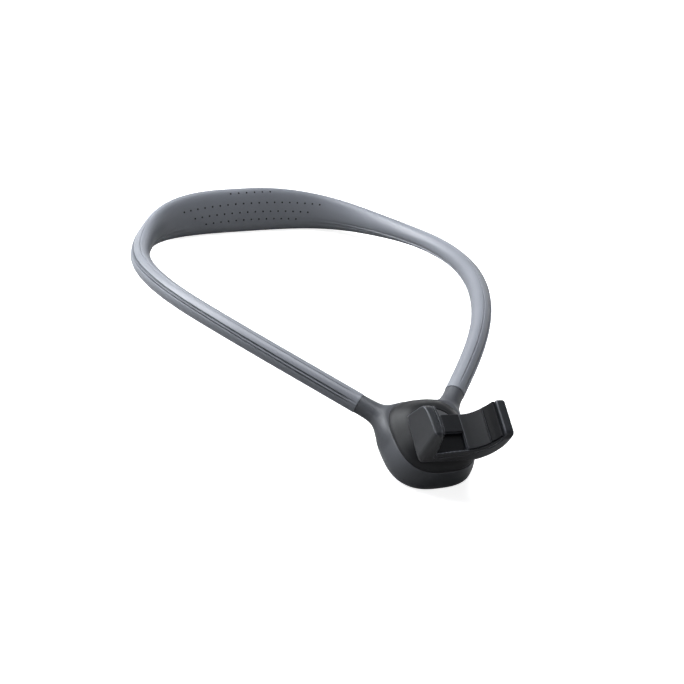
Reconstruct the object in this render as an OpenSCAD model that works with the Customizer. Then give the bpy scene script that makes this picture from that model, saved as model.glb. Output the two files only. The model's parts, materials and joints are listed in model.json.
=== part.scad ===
// Bendable neck loop with a chest hub, a swivel and a tilting grip cradle.
// The part rests as on a table: -Y is the hub end, +Y is the neck pad, +Z is up.
// The hub and the loop are drawn in the hub's own frame (x across, y towards the
// neck pad, z out of the hub's face, origin in the middle of the dome's seam) and
// are then leaned back until hub and neck pad both touch the table.

/* [Neck loop] */
// Half of the loop's greatest width, to the middle of the tube
loop_half_w = 80; // [74:1:90]
// Distance from the hub's middle to the middle of the neck pad, along the hub's face
loop_len = 200; // [185:1:225]
// Depth of the neck pad's middle behind the hub's seam plane
loop_drop = 70; // [60:1:80]
// Outside diameter of the round tubes
tube_d = 9.35; // [9:0.05:10]
// Width of the flat band at the neck pad
pad_w = 21; // [17:0.5:25]
// Thickness of the band at the neck pad
pad_t = 6.8; // [6:0.1:8]
// Lean of the neck pad's band against the hub's face, in degrees
pad_lean = 50; // [40:1:60]
// Depth of the two long grooves
groove_depth = 0.9; // [0.5:0.05:1.3]
// Height of the fine lip beside each groove
lip_height = 0.3; // [0.1:0.05:0.4]
// Diameter of the bendable core wire
wire_d = 2.4; // [2:0.1:2.6]
// Clearance between the core wire and the sleeve's bore
wire_clear = 0.25; // [0.2:0.01:0.3]

/* [Hub shell] */
// Hub width at the dome's seam
hub_w = 36.6; // [36:0.1:39]
// Hub length at the dome's seam
hub_l = 40; // [39.4:0.1:43]
// Depth of the lower shell below the seam
skirt_h = 9.9; // [9.8:0.05:10.4]
// How much farther out the lower shell's back edge stands than the seam, sideways
flare_w = 2.9; // [2.2:0.1:3.6]
// How much farther out the lower shell's back edge stands than the seam, lengthwise
flare_l = 0.5; // [0.3:0.1:1.2]
// Wall thickness of the lower shell
skirt_wall = 1.8; // [1.5:0.05:2]
// Thickness of the back cover
back_t = 2.3; // [2:0.05:2.6]
// Rounding of the back cover's outer edge
back_round = 1.6; // [1:0.05:1.8]
// Height of the plug rim that locates the back cover
plug_h = 1; // [0.6:0.05:1.2]
// Wall of the plug rim and of the dome's locating rim
rim_wall = 1.2; // [0.9:0.05:1.3]
// Height of the dome above the seam
dome_h = 7.5; // [7.4:0.02:7.8]
// Thickness of the dome's top plate round the opening
dome_top_t = 2.4; // [2.2:0.02:2.5]
// Width of the sloping shoulder from the dome's edge to its flat top
shoulder_w = 9.2; // [8.6:0.1:9.4]
// Length of each arm from its mouth into the hub
arm_len = 19.5; // [18.5:0.1:20.5]
// Half width of each arm where it runs into the hub
arm_root = 10.8; // [9.5:0.1:11.2]
// Step by which the arm's mouth is thinner than the sleeve, on the radius
mouth_step = 0.2; // [0.1:0.05:0.35]
// Length of the tether slot on the left arm
slot_l = 3; // [2:0.1:4]
// Width of the tether slot
slot_w = 1.2; // [0.8:0.05:1.6]
// Depth of the tether slot
slot_deep = 1.4; // [1:0.1:1.8]
// Distance of the tether slot from the arm's mouth
slot_at = 6.5; // [5:0.1:8]
// Sideways clearance between shell parts that plug into one another
shell_clear = 0.1; // [0.06:0.01:0.2]

/* [Core ends] */
// Diameter of the crimped ferrules
ferrule_d = 4.8; // [4.4:0.1:5]
// Length of the crimped ferrules
ferrule_l = 8; // [6.5:0.1:9]
// Distance from the arm's mouth to the ferrule
ferrule_at = 1; // [0.6:0.1:1.4]
// Clearance round the ferrules in the arms
ferrule_clear = 0.1; // [0.05:0.01:0.15]
// Shank diameter of the screws that lock the ferrules
lock_shank_d = 1.6; // [1.4:0.05:1.8]
// Head diameter of the screws that lock the ferrules
lock_head_d = 2.8; // [2.5:0.1:3]
// Head height of the screws that lock the ferrules
lock_head_h = 1; // [0.8:0.05:1.1]

/* [Swivel] */
// Diameter of the swivel disc in the dome's opening
disc_d = 19; // [18.4:0.1:19.2]
// Clearance round the swivel disc
disc_clear = 0.4; // [0.3:0.02:0.5]
// Depth of the disc's top below the top of the dome
disc_low = 0.2; // [0.1:0.05:0.3]
// Thickness of the swivel disc
disc_t = 2.5; // [2.3:0.05:2.6]
// Diameter of the flange under the disc
flange_d = 22.4; // [21.8:0.1:23]
// Thickness of the flange
flange_t = 1.2; // [1:0.05:1.3]
// Diameter of the swivel's stub shaft
shaft_d = 7; // [6.6:0.1:7.2]
// Running clearance of the shaft in its bushing, on the radius
shaft_run = 0.05; // [0.02:0.01:0.1]
// Wall thickness of the bushing
bushing_wall = 1; // [0.8:0.05:1.1]
// Outside diameter of the bearing boss and of the friction washer
boss_d = 14; // [13.4:0.1:14.4]
// Thickness of the friction washer
washer_t = 1.2; // [1:0.05:1.3]
// Thickness of the inner frame plate
frame_t = 1.6; // [1.4:0.05:1.8]
// Depth of the inner frame's underside below the seam
frame_low = 5; // [4.8:0.05:5.2]
// Thickness of the wave spring when loaded
spring_t = 0.6; // [0.5:0.05:0.7]
// Outside diameter of the wave spring and of the retaining washer
retainer_d = 12.4; // [12:0.1:12.8]
// Thickness of the retaining washer
retainer_t = 1; // [0.8:0.05:1.1]
// Shank diameter of the swivel screw
swivel_shank_d = 3; // [2.6:0.1:3.2]
// Head diameter of the swivel screw
swivel_head_d = 5.5; // [5:0.1:6]
// Head height of the swivel screw
swivel_head_h = 1.4; // [1.2:0.05:1.5]

/* [Small screws] */
// Shank diameter of the small screws
small_shank_d = 1.8; // [1.6:0.05:1.9]
// Head diameter of the small screws
small_head_d = 3.4; // [3.2:0.05:3.6]
// Head height of the small screws
small_head_h = 1.2; // [1:0.05:1.3]
// Outside diameter of the posts and bosses for the small screws
post_d = 4; // [3.8:0.05:4.4]
// Clearance round screw shanks, on the radius
screw_clear = 0.05; // [0.03:0.01:0.08]
// Share of the hub's half width and half length at which the corner screws stand
corner_share = 0.63; // [0.61:0.01:0.64]
// Distance of the dome's posts from the edge of the hub
post_inset = 4.9; // [4.8:0.05:5.1]

/* [Tilt hinge] */
// Distance of the hinge axis from the swivel axis, towards the hub's lower end
hinge_off = 5.8; // [5.4:0.1:6.4]
// Gap between the hinge knuckle and the swivel disc
hinge_gap = 0.6; // [0.5:0.05:1]
// Diameter of the hinge pin
pin_d = 2.5; // [2.2:0.05:2.7]
// Running clearance of the hinge pin, on the radius
pin_run = 0.05; // [0.02:0.01:0.08]
// Outside radius of the ears and of the knuckle
ear_r = 2.4; // [2.2:0.05:2.6]
// Width of the hinge knuckle
knuckle_w = 7.4; // [7:0.1:7.8]
// Thickness of the washers beside the knuckle
hinge_washer_t = 0.4; // [0.3:0.02:0.5]
// Thickness of each hinge ear
ear_t = 3.3; // [3:0.05:3.5]
// Head radius of the hinge pin
pin_head_r = 2; // [1.8:0.05:2.1]
// Head height of the hinge pin
pin_head_h = 1.2; // [1:0.05:1.4]
// Lean of the cradle in its rest place, in degrees
cradle_lean = 7; // [0:0.2:12]
// Turn of the swivel in its rest place, in degrees
head_turn = -4.5; // [-12:0.5:12]

/* [Grip cradle] */
// Distance from the cradle's middle to the lip of the tall left jaw
left_lip = 12.1; // [11:0.1:13.5]
// Height of the left jaw's lip above the cradle's floor
left_h = 13.9; // [12.5:0.1:15]
// Distance from the cradle's middle to the lip of the open right jaw
right_lip = 17.4; // [16.6:0.1:19]
// Height of the right jaw's lip above the cradle's floor
right_h = 9.4; // [8.6:0.1:10.4]
// Thickness of the left jaw at its lip
left_t = 5.3; // [4.4:0.1:6]
// Thickness of the right jaw at its lip
right_t = 5.2; // [4.6:0.1:6]
// Width of the flat well in the cradle's floor
well_w = 8.9; // [8.6:0.1:9.6]
// Length of the cradle along the gripped camera
cradle_l = 17.8; // [17.4:0.1:20]
// Thickness of the cradle's floor over the hinge
floor_t = 6.8; // [6.4:0.05:7.4]
// Thickness of the cradle's floor at the near end
near_floor_t = 9.2; // [8.2:0.1:9.6]
// Height of the left jaw's outer top above its lip
jaw_rise = 0.7; // [0.4:0.05:1]
// Height of the right jaw's outer top above its lip
bead_rise = 2.2; // [1.6:0.1:2.8]
// Rounding of the right jaw's outer top edge
jaw_round = 2.4; // [1.8:0.1:3]
// Rounding of the left jaw's outer top edge
edge_round = 0.8; // [0.5:0.05:1.2]
// Thickness of the grip pads and of the floor plate
lining_t = 1.2; // [1:0.05:1.3]
// Width of the stepped rim at the near end
near_rim = 1.3; // [1:0.05:1.6]
// Length of the flush floor plate at the far end
plate_l = 8.1; // [7.4:0.1:8.8]
// Depth of the recess in the near half of the floor
recess_deep = 2.3; // [2:0.05:2.5]
// Thickness of the pad in the recess
recess_pad_t = 0.8; // [0.6:0.05:0.9]
// Rounding of the left jaw's far top corner
far_round = 7; // [5:0.1:8]
// Rounding of the left jaw's near top corner and of the right jaw's far top corner
near_round = 1.8; // [1.2:0.1:2.4]
// Rounding of the right jaw's near top corner
open_round = 4; // [3:0.1:5]
// Rounding of the right jaw's near end as seen from above
plan_round = 4.2; // [3:0.1:5]
// Rounding of the left jaw's foot
low_round = 5; // [4:0.1:6]
// Rounding of the floor's lower edges at both ends
end_round = 1.2; // [0.8:0.05:1.6]
// Distance from the cradle's middle to the hinge axis, towards the neck pad
hinge_back = 6.2; // [5.8:0.05:6.4]
// Gap between the hinge ears and the cradle's underside
under_gap = 0.45; // [0.4:0.05:0.8]
// Thickness of the knuckle's base
knuckle_base_t = 1.8; // [1.6:0.05:2]

/* [Hidden] */
// Places of the loop's guide points as shares of its half width, length and drop,
// from the arm's mouth to the middle of the neck pad
loop_shares = [
  [0.304, 0.128, 0.08], [0.52, 0.224, 0.092], [0.712, 0.325, 0.137],
  [0.864, 0.433, 0.228], [0.972, 0.547, 0.366], [1.013, 0.659, 0.527],
  [0.977, 0.776, 0.715], [0.84, 0.876, 0.88], [0.63, 0.971, 1.02],
  [0.32, 0.996, 1.02], [0, 0.996, 1]];
// Section angles from the outward side towards the hub's face, one half of the ring;
// groove and lip weights stand beside each angle
ring_shares = [
  [2, 0, 0], [16, 0, 0], [30, 0, 0], [36, 0, 0],
  [39, 0, 1], [43, 0, 0], [49, 1, 0], [55, 0, 0],
  [68, 0, 0], [82, 0, 0], [93, 0, 0], [96, 0.35, 0],
  [99, 0, 0], [116, 0, 0], [136, 0, 0], [158, 0, 0]];
// The inside of the left and of the right jaw as shares of the lip's distance and height,
// measured out from the edge of the well
left_shares = [[0, 0], [0.54, 0.01], [0.7, 0.06], [0.8, 0.19], [0.9, 0.43], [1, 1]];
right_shares = [[0, 0], [0.27, 0.06], [0.43, 0.17], [0.57, 0.34], [0.7, 0.55],
  [0.74, 0.64], [0.86, 0.82], [1, 1]];
// The outside of the right jaw: share of its reach, share of the near floor's thickness
outer_shares = [[0.985, -0.85], [0.95, -0.58], [0.885, -0.26], [0.82, 0.08], [0.72, 0.49],
  [0.58, 0.8], [0.49, 0.93], [0.4, 1]];
// Dome shoulder: share of the shoulder's width and share of the dome's height
dome_shares = [[0, 0], [0.16, 0.3], [0.35, 0.51], [0.61, 0.79], [0.8, 0.93], [1, 1]];
// Dome inside: share of the shoulder's width and share of the inner height
inner_shares = [[0, 0], [0.13, 0.59], [0.37, 1]];
// Lower shell: share of its depth and share of its flare, from the back edge up
skirt_shares = [[1, 1], [0.75, 0.93], [0.5, 0.76], [0.25, 0.45], [0, 0]];
// Arm flare: share of the arm's length and share of the widening
arm_shares = [[0, 0], [0.2, 0.02], [0.41, 0.12], [0.56, 0.3], [0.69, 0.52],
  [0.79, 0.74], [0.9, 0.93], [1, 1]];
// Roundness of the hub's outline
hub_power = 2.7;
// Share of the loop's half length over which the band narrows to the tube
band_share = 0.35;
// Share of the loop's half length over which the section turns to the band's lean
turn_share = 0.85;
// Share of the loop's half length over which the grooves fade in
fade_share = 0.04;
// Share of the width of a tube that the hub's arm keeps through its height
arm_height_share = 0.98;
// Roundness of the band's section
band_power = 2.5;
// Depth of the flange screws' holes as a share of the disc's thickness
hole_share = 0.8;
// Reach of the ears' and the knuckle's feet from the hinge axis as shares of the ear radius
foot_share = 1.4;
neck_share = 0.8;
heel_share = 2.4;
// Places of the knuckle screws from the hinge axis as shares of the ear radius
knuckle_screw_shares = [-1.55, 0.75];

$fn = 48;
half_turn = 180;
outline_n = 48;
arm_n = 24;
seg_n = 4;

tube_r = tube_d / 2;
wire_r = wire_d / 2;
bore_r = wire_r + wire_clear;
mouth_r = tube_r - mouth_step;
hub_a = hub_w / 2;
hub_b = hub_l / 2;
cav_a = hub_a - skirt_wall;
cav_b = hub_b - skirt_wall;
back_a = cav_a + flare_w / 2;
back_b = cav_b + flare_l / 2;
opening_r = disc_d / 2 + disc_clear;
disc_top = dome_h - disc_low;
hinge_h = disc_top + hinge_gap + ear_r;
disc_low_z = disc_top - disc_t;
flange_low = disc_low_z - flange_t;
boss_top = flange_low - washer_t;
frame_top = frame_t - frame_low;
shaft_r = shaft_d / 2;
bushing_in = shaft_r + shaft_run;
bushing_out = bushing_in + bushing_wall;
boss_bore = bushing_out + screw_clear;
spring_low = -frame_low - spring_t;
retainer_low = spring_low - retainer_t;
dome_under = dome_h - dome_top_t;
small_r = small_shank_d / 2;
small_hole = small_r + screw_clear;
head_r = small_head_d / 2;
post_r = post_d / 2;
pin_r = pin_d / 2;
ear_x0 = knuckle_w / 2 + hinge_washer_t;
ear_x1 = ear_x0 + ear_t;
cradle_c = cradle_l / 2;
left_top = left_h + jaw_rise;
right_top = right_h + bead_rise;
left_out = left_lip + left_t;
right_out = right_lip + right_t;
hinge_drop = ear_r + under_gap;
rim_y = near_rim - cradle_c;
plate_y = cradle_c - plate_l;
axis_z = -floor_t - hinge_drop;
well_a = well_w / 2;

function unit(v) = v / norm(v);
function smooth(t) = t < 0 ? 0 : t > 1 ? 1 : t * t * (3 - 2 * t);

// Guide points of the whole loop, from the right arm over the pad to the left arm
half_points = [for (s = loop_shares) [s[0] * loop_half_w, s[1] * loop_len, -s[2] * loop_drop]];
half_n = len(half_points) - 1;
all_points = [for (i = [0 : 2 * half_n])
  i <= half_n ? half_points[i]
              : [-half_points[2 * half_n - i][0], half_points[2 * half_n - i][1],
                 half_points[2 * half_n - i][2]]];
last = len(all_points) - 1;
guides = concat([2 * all_points[0] - all_points[1]], all_points,
                [2 * all_points[last] - all_points[last - 1]]);

function curve_at(i, t) =
  ((1 - t) ^ 3 * guides[i] + (3 * t ^ 3 - 6 * t ^ 2 + 4) * guides[i + 1]
   + (-3 * t ^ 3 + 3 * t ^ 2 + 3 * t + 1) * guides[i + 2] + t ^ 3 * guides[i + 3]) / 6;
function slope_at(i, t) =
  (-(1 - t) ^ 2 * guides[i] + (3 * t ^ 2 - 4 * t) * guides[i + 1]
   + (-3 * t ^ 2 + 2 * t + 1) * guides[i + 2] + t ^ 2 * guides[i + 3]) / 2;

// Stations along the loop: place, direction, and share of the way to the pad
ring_n = last * seg_n;
stations = [for (k = [0 : ring_n])
  let (i = min(floor(k / seg_n), last - 1), t = k / seg_n - i,
       w = 1 - abs(2 * k / ring_n - 1))
  [curve_at(i, t), unit(slope_at(i, t)), w]];

// Section frame: the outward side and the side that faces up at the hub
function lean_up(w) =
  let (g = smooth(w / turn_share))
  unit([0, 0, 1 - g] + g * [0, cos(pad_lean), sin(pad_lean)]);
function out_dir(s) = unit(cross(s[1], lean_up(s[2])));
function up_dir(s) = cross(out_dir(s), s[1]);

full_ring = concat(ring_shares, [for (r = ring_shares) [r[0] + half_turn, r[1], r[2]]]);
section_n = len(full_ring);
bore_n = section_n / 4;

function sign_pow(v, p) = sign(v) * abs(v) ^ p;
function band_k(w) = 1 - smooth((1 - w) / band_share);
function fade_k(w) = smooth(w / fade_share) * (1 - band_k(w) ^ 2);
function sleeve_point(s, r) =
  let (k = band_k(s[2]), f = fade_k(s[2]),
       a = tube_r + (pad_t / 2 - tube_r) * k, b = tube_r + (pad_w / 2 - tube_r) * k,
       p = 2 / (2 + (band_power - 2) * k),
       cut = f * (lip_height * r[2] - groove_depth * r[1]))
  s[0] + (a * sign_pow(cos(r[0]), p) + cut * cos(r[0])) * out_dir(s)
       + (b * sign_pow(sin(r[0]), p) + cut * sin(r[0])) * up_dir(s);
function round_point(s, r, g) = s[0] + r * cos(g) * out_dir(s) + r * sin(g) * up_dir(s);

sleeve_points = [for (s = stations) each [for (r = full_ring) sleeve_point(s, r)]];

// Side faces of a swept tube; flip turns them for a bore
function tube_faces(rows, m, base, flip) =
  [for (i = [0 : rows - 1]) each [for (j = [0 : m - 1])
    let (a = base + i * m + j, b = base + i * m + (j + 1) % m)
    each (flip ? [[a, b + m, b], [a, a + m, b + m]] : [[a, b, b + m], [a, b + m, a + m]])]];
// Ring-shaped end face between the outer ring and the bore
function cap_faces(o, q, flip) =
  [for (k = [0 : bore_n - 1]) each concat(
    [for (j = [0 : 3])
      let (a = o + 4 * k + j, b = o + (4 * k + j + 1) % section_n)
      flip ? [a, b, q + k] : [b, a, q + k]],
    [let (a = o + (4 * k + 4) % section_n, b = q + (k + 1) % bore_n)
      flip ? [a, b, q + k] : [a, q + k, b]])];

// Arm frame at the right mouth
mouth = all_points[0];
arm_dir = unit(all_points[1] - all_points[0]);
arm_yaw = atan2(arm_dir[1], arm_dir[0]);
arm_pitch = asin(arm_dir[2]);

// Lean of the whole part on the table, from the hub's back edge to the pad's low edge
touch_hub = [-hub_b, -skirt_h - back_t];
touch_pad = [loop_len - pad_w / 2 * cos(pad_lean), -loop_drop - pad_w / 2 * sin(pad_lean)];
back_ring = outline(hub_a + flare_w, hub_b + flare_l, outline_n);
hub_edge = [for (g = [0 : 15 : 90], q = back_ring)
  [0, q[1] * (1 - back_round * (1 - cos(g)) / hub_b),
   -skirt_h - back_t + back_round * (1 - sin(g))]];
function low_of(points, lean) = min([for (p = points) p[1] * sin(lean) + p[2] * cos(lean)]);
first_lean = atan((touch_hub[1] - touch_pad[1]) / (touch_pad[0] - touch_hub[0]));
function mend_lean(lean) =
  lean + atan((low_of(hub_edge, lean) - low_of(sleeve_points, lean)) / (touch_pad[0] - touch_hub[0]));
table_lean = mend_lean(mend_lean(first_lean));
function table_y(p) = p[1] * cos(table_lean) - p[2] * sin(table_lean);
hub_low = low_of(hub_edge, table_lean);
sleeve_low = low_of(sleeve_points, table_lean);
sleeve_back = max([for (p = sleeve_points) table_y(p)]);
function turn_x(p, g) = [p[0], p[1] * cos(g) - p[2] * sin(g), p[1] * sin(g) + p[2] * cos(g)];
function turn_z(p, g) = [p[0] * cos(g) - p[1] * sin(g), p[0] * sin(g) + p[1] * cos(g), p[2]];
function at_cradle(p) =
  turn_z(turn_x([p[0], p[1] - hinge_back, p[2] - axis_z], cradle_lean) + [0, -hinge_off, hinge_h],
         head_turn);
front_end = min([for (g = [90 : 10 : 180], side = [
  [-left_out, left_top, near_round], [right_out - plan_round, right_top, open_round]])
  table_y(at_cradle([side[0], side[2] * (1 + cos(g)) - cradle_c,
                     side[1] - side[2] * (1 - sin(g))]))]);
lift = -min(hub_low, sleeve_low);
shift = -(sleeve_back + front_end) / 2;

// Outline of the hub, widened or narrowed
function outline(a, b, n) = [for (i = [0 : n - 1])
  let (g = 360 * (i + 0.5) / n)
  [a * sign_pow(cos(g), 2 / hub_power), b * sign_pow(sin(g), 2 / hub_power)]];
function flat_faces(rows, m) = concat(
  [[for (j = [0 : m - 1]) j]],
  [for (i = [0 : rows - 2]) each [for (j = [0 : m - 1])
    let (a = i * m + j, b = i * m + (j + 1) % m)
    each [[a, a + m, b], [b, a + m, b + m]]]],
  [[for (j = [m - 1 : -1 : 0]) (rows - 1) * m + j]]);

// A stack of hub outlines, each given as [half width, half length, height], low first
module loft(rows) {
  points = [for (r = rows) each [for (q = outline(r[0], r[1], outline_n)) [q[0], q[1], r[2]]]];
  polyhedron(points, flat_faces(len(rows), outline_n));
}

module on_table() {
  translate([0, shift, lift]) rotate([table_lean, 0, 0]) children();
}

// Places children along the arms: x runs from the mouth into the loop, z stays up
module at_arms() {
  for (side = [0, 1]) {
    mirror([side, 0, 0]) translate(mouth) rotate([0, 0, arm_yaw])
      rotate([0, -arm_pitch, 0]) children();
  }
}

module at_corners() {
  for (sx = [-1, 1], sy = [-1, 1]) {
    translate([sx * corner_share * hub_a, sy * corner_share * hub_b, 0]) children();
  }
}

module at_posts() {
  for (s = [-1, 1]) {
    translate([s * (hub_a - post_inset), 0, 0]) children();
    translate([0, s * (hub_b - post_inset), 0]) children();
  }
}

// Neck loop

module neck_sleeve() {
  bore = [for (s = stations) each [for (k = [0 : bore_n - 1])
    round_point(s, bore_r, (k + 0.5) * 360 / bore_n)]];
  n = len(sleeve_points);
  on_table() color("#3b3d40") polyhedron(concat(sleeve_points, bore), concat(
    tube_faces(ring_n, section_n, 0, false),
    tube_faces(ring_n, bore_n, n, true),
    cap_faces(0, n, false),
    cap_faces(ring_n * section_n, n + ring_n * bore_n, true)));
}

module core_wire() {
  reach = ferrule_at + ferrule_l - wire_d / 2;
  first = stations[0];
  final = stations[ring_n];
  path = concat([[first[0] - reach * first[1], first[1], first[2]]], stations,
                [[final[0] + reach * final[1], final[1], final[2]]]);
  rows = len(path);
  points = [for (s = path) each [for (k = [0 : bore_n - 1])
    round_point(s, wire_r, (k + 0.5) * 360 / bore_n)]];
  on_table() color("#a9adb2") polyhedron(points, concat(
    tube_faces(rows - 1, bore_n, 0, false),
    [[for (k = [bore_n - 1 : -1 : 0]) k]],
    [[for (k = [0 : bore_n - 1]) (rows - 1) * bore_n + k]]));
}

module core_ferrules() {
  on_table() color("#b9bcc0") at_arms() translate([-ferrule_at, 0, 0]) rotate([0, -90, 0])
    difference() {
      cylinder(d = ferrule_d, h = ferrule_l);
      translate([0, 0, -ferrule_at]) cylinder(r = bore_r, h = ferrule_l);
    }
}

// Height of the ferrule screw's head seat, measured from the arm's middle line
lock_seat = ferrule_d / 2 + lock_shank_d / 2;
module ferrule_screws() {
  on_table() color("#8e9195") at_arms() translate([-ferrule_at - ferrule_l / 2, 0, 0]) {
    translate([0, 0, -lock_seat - lock_head_h / 2])
      cylinder(d = lock_shank_d, h = lock_seat + lock_head_h / 2 - ferrule_d / 2);
    translate([0, 0, -lock_seat - lock_head_h]) cylinder(d = lock_head_d, h = lock_head_h);
  }
}

// Hub shell

// Lengthwise stack of arm sections
module arm() {
  rings = [for (s = arm_shares)
    [-s[0] * arm_len, mouth_r + s[1] * (arm_root - mouth_r), mouth_r * (1 - (1 - arm_height_share) * s[1])]];
  points = [for (r = rings) each [for (i = [0 : arm_n - 1])
    let (g = -360 * i / arm_n) [r[0], r[1] * cos(g), r[2] * sin(g)]]];
  polyhedron(points, flat_faces(len(rings), arm_n));
}

module hub_skirt() {
  on_table() color("#5a5c60") {
    difference() {
      union() {
        loft([for (s = skirt_shares)
          [hub_a + s[1] * flare_w, hub_b + s[1] * flare_l, -s[0] * skirt_h]]);
        at_arms() arm();
      }
      loft([[back_a, back_b, -skirt_h], [cav_a, cav_b, -frame_low], [cav_a, cav_b, 0]]);
      at_arms() {
        translate([-ferrule_at - ferrule_l - ferrule_clear, 0, 0]) rotate([0, 90, 0])
          cylinder(d = ferrule_d + 2 * ferrule_clear, h = tube_d + ferrule_l);
        translate([-ferrule_at - ferrule_l / 2, 0, -tube_d]) {
          cylinder(r = lock_shank_d / 2 + screw_clear, h = tube_d);
          cylinder(r = lock_head_d / 2 + screw_clear, h = tube_d - lock_seat);
        }
      }
      mirror([1, 0, 0]) translate(mouth) rotate([0, 0, arm_yaw])
        translate([-slot_at - slot_l / 2, -slot_w / 2, mouth_r - slot_deep])
          cube([slot_l, slot_w, tube_d]);
    }
    intersection() {
      translate([0, 0, -skirt_h]) linear_extrude(skirt_h)
        polygon(outline(hub_a - shell_clear, hub_b - shell_clear, outline_n));
      at_corners() translate([0, 0, -skirt_h]) difference() {
        cylinder(r = post_r + small_r, h = skirt_h - frame_low);
        cylinder(r = small_hole, h = skirt_h - frame_low - frame_t / 2);
      }
    }
  }
}

module back_cover() {
  a = hub_a + flare_w;
  b = hub_b + flare_l;
  low = -skirt_h - back_t;
  turn = [for (g = [0 : 22.5 : 90])
    [a - back_round * (1 - sin(g)), b - back_round * (1 - sin(g)), low + back_round * (1 - cos(g))]];
  on_table() color("#4b4d51") difference() {
    union() {
      loft(concat(turn, [[a, b, -skirt_h]]));
      translate([0, 0, -skirt_h - plug_h]) linear_extrude(2 * plug_h) difference() {
        polygon(outline(back_a - plug_h - shell_clear, back_b - shell_clear, outline_n));
        polygon(outline(back_a - plug_h - rim_wall, back_b - rim_wall, outline_n));
      }
    }
    at_corners() {
      translate([0, 0, low]) cylinder(r = small_hole, h = back_t + plug_h);
      translate([0, 0, low]) cylinder(r = head_r + screw_clear, h = small_head_h);
      translate([0, 0, -skirt_h]) cylinder(r = post_r + small_r + shell_clear, h = back_t);
    }
  }
}

module back_cover_screws() {
  low = -skirt_h - back_t;
  on_table() color("#8e9195") at_corners() {
    translate([0, 0, low + small_head_h - screw_clear]) cylinder(r = small_r, h = back_t);
    translate([0, 0, low + screw_clear]) cylinder(r = head_r, h = small_head_h - screw_clear);
  }
}

module dome_cover() {
  on_table() color("#26282b") {
    difference() {
      loft([for (s = dome_shares)
        [hub_a - s[0] * shoulder_w, hub_b - s[0] * shoulder_w, s[1] * dome_h]]);
      loft([for (s = inner_shares)
        [cav_a - rim_wall - s[0] * shoulder_w, cav_b - rim_wall - s[0] * shoulder_w,
         s[1] * dome_under]]);
      cylinder(r = opening_r, h = dome_h);
    }
    translate([0, 0, -plug_h]) linear_extrude(1.5 * plug_h) difference() {
      polygon(outline(cav_a - shell_clear, cav_b - shell_clear, outline_n));
      polygon(outline(cav_a - rim_wall, cav_b - rim_wall, outline_n));
    }
    at_posts() translate([0, 0, frame_top]) difference() {
      cylinder(r = post_r, h = dome_under / 2 - frame_top);
      cylinder(r = small_hole, h = -frame_top);
    }
  }
}

module dome_screws() {
  on_table() color("#8e9195") at_posts() {
    translate([0, 0, -frame_low - small_head_h / 2])
      cylinder(r = small_r, h = frame_low + small_head_h / 2 - small_r);
    translate([0, 0, -frame_low - small_head_h]) cylinder(r = head_r, h = small_head_h);
  }
}

module inner_frame() {
  on_table() color("#6c6f73") difference() {
    union() {
      translate([0, 0, -frame_low]) linear_extrude(frame_t)
        polygon(outline(cav_a - shell_clear, cav_b - shell_clear, outline_n));
      translate([0, 0, -frame_low]) cylinder(d = boss_d, h = boss_top + frame_low);
    }
    translate([0, 0, -frame_low]) cylinder(r = boss_bore, h = boss_top + frame_low);
    at_posts() translate([0, 0, -frame_low]) cylinder(r = small_hole, h = frame_t);
  }
}

module swivel_bushing() {
  on_table() color("#d8d4c6") translate([0, 0, -frame_low]) difference() {
    cylinder(r = bushing_out, h = boss_top + frame_low);
    cylinder(r = bushing_in, h = boss_top + frame_low);
  }
}

module friction_washer() {
  on_table() color("#2f3033") translate([0, 0, boss_top]) difference() {
    cylinder(d = boss_d, h = washer_t);
    cylinder(r = bushing_in + bushing_wall / 2, h = washer_t);
  }
}

// Swivel

// Places of the flange screws on the disc
flange_screw_at = (boss_d / 2 + disc_d / 2) / 2;
flange_screw_r = (disc_d / 2 - boss_d / 2) / 4;
flange_head_h = small_head_h / 2;

module on_swivel() {
  on_table() rotate([0, 0, head_turn]) children();
}

module at_flange_screws() {
  for (k = [0 : 2]) {
    rotate([0, 0, 120 * k + 90]) translate([flange_screw_at, 0, 0]) children();
  }
}

module swivel_disc() {
  on_swivel() color("#4a4c50") difference() {
    union() {
      translate([0, 0, disc_low_z]) cylinder(d = disc_d, h = disc_t, $fn = 96);
      intersection() {
        cylinder(r = disc_d / 2 - disc_low, h = 2 * hinge_h, $fn = 96);
        for (side = [0, 1]) {
          mirror([side, 0, 0]) translate([ear_x0, 0, 0]) rotate([90, 0, 90])
            linear_extrude(ear_t) {
              translate([-hinge_off, hinge_h]) circle(ear_r);
              polygon([[-hinge_off - ear_r, hinge_h], [-hinge_off + ear_r, hinge_h],
                       [-hinge_off + foot_share * ear_r, disc_top - disc_low],
                       [-hinge_off - foot_share * ear_r, disc_top - disc_low]]);
            }
        }
      }
    }
    translate([-disc_d, -hinge_off, hinge_h]) rotate([0, 90, 0])
      cylinder(r = pin_r + pin_run, h = 2 * disc_d);
    at_flange_screws() translate([0, 0, disc_low_z])
      cylinder(r = flange_screw_r / 2 + screw_clear, h = disc_t * hole_share);
  }
}

module swivel_flange() {
  on_swivel() color("#5d6064") difference() {
    union() {
      translate([0, 0, flange_low]) cylinder(d = flange_d, h = flange_t);
      translate([0, 0, spring_low]) cylinder(r = shaft_r, h = flange_low + flange_t / 2 - spring_low);
    }
    translate([0, 0, spring_low]) cylinder(d = swivel_shank_d + 2 * screw_clear, h = shaft_d);
    at_flange_screws() translate([0, 0, flange_low])
      cylinder(r = flange_screw_r / 2 + screw_clear, h = flange_t);
  }
}

module flange_screws() {
  on_swivel() color("#8e9195") at_flange_screws() {
    translate([0, 0, flange_low - flange_head_h])
      cylinder(r = flange_screw_r / 2, h = flange_head_h + flange_t + disc_t / 2);
    translate([0, 0, flange_low - flange_head_h]) cylinder(r = flange_screw_r, h = flange_head_h);
  }
}

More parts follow.
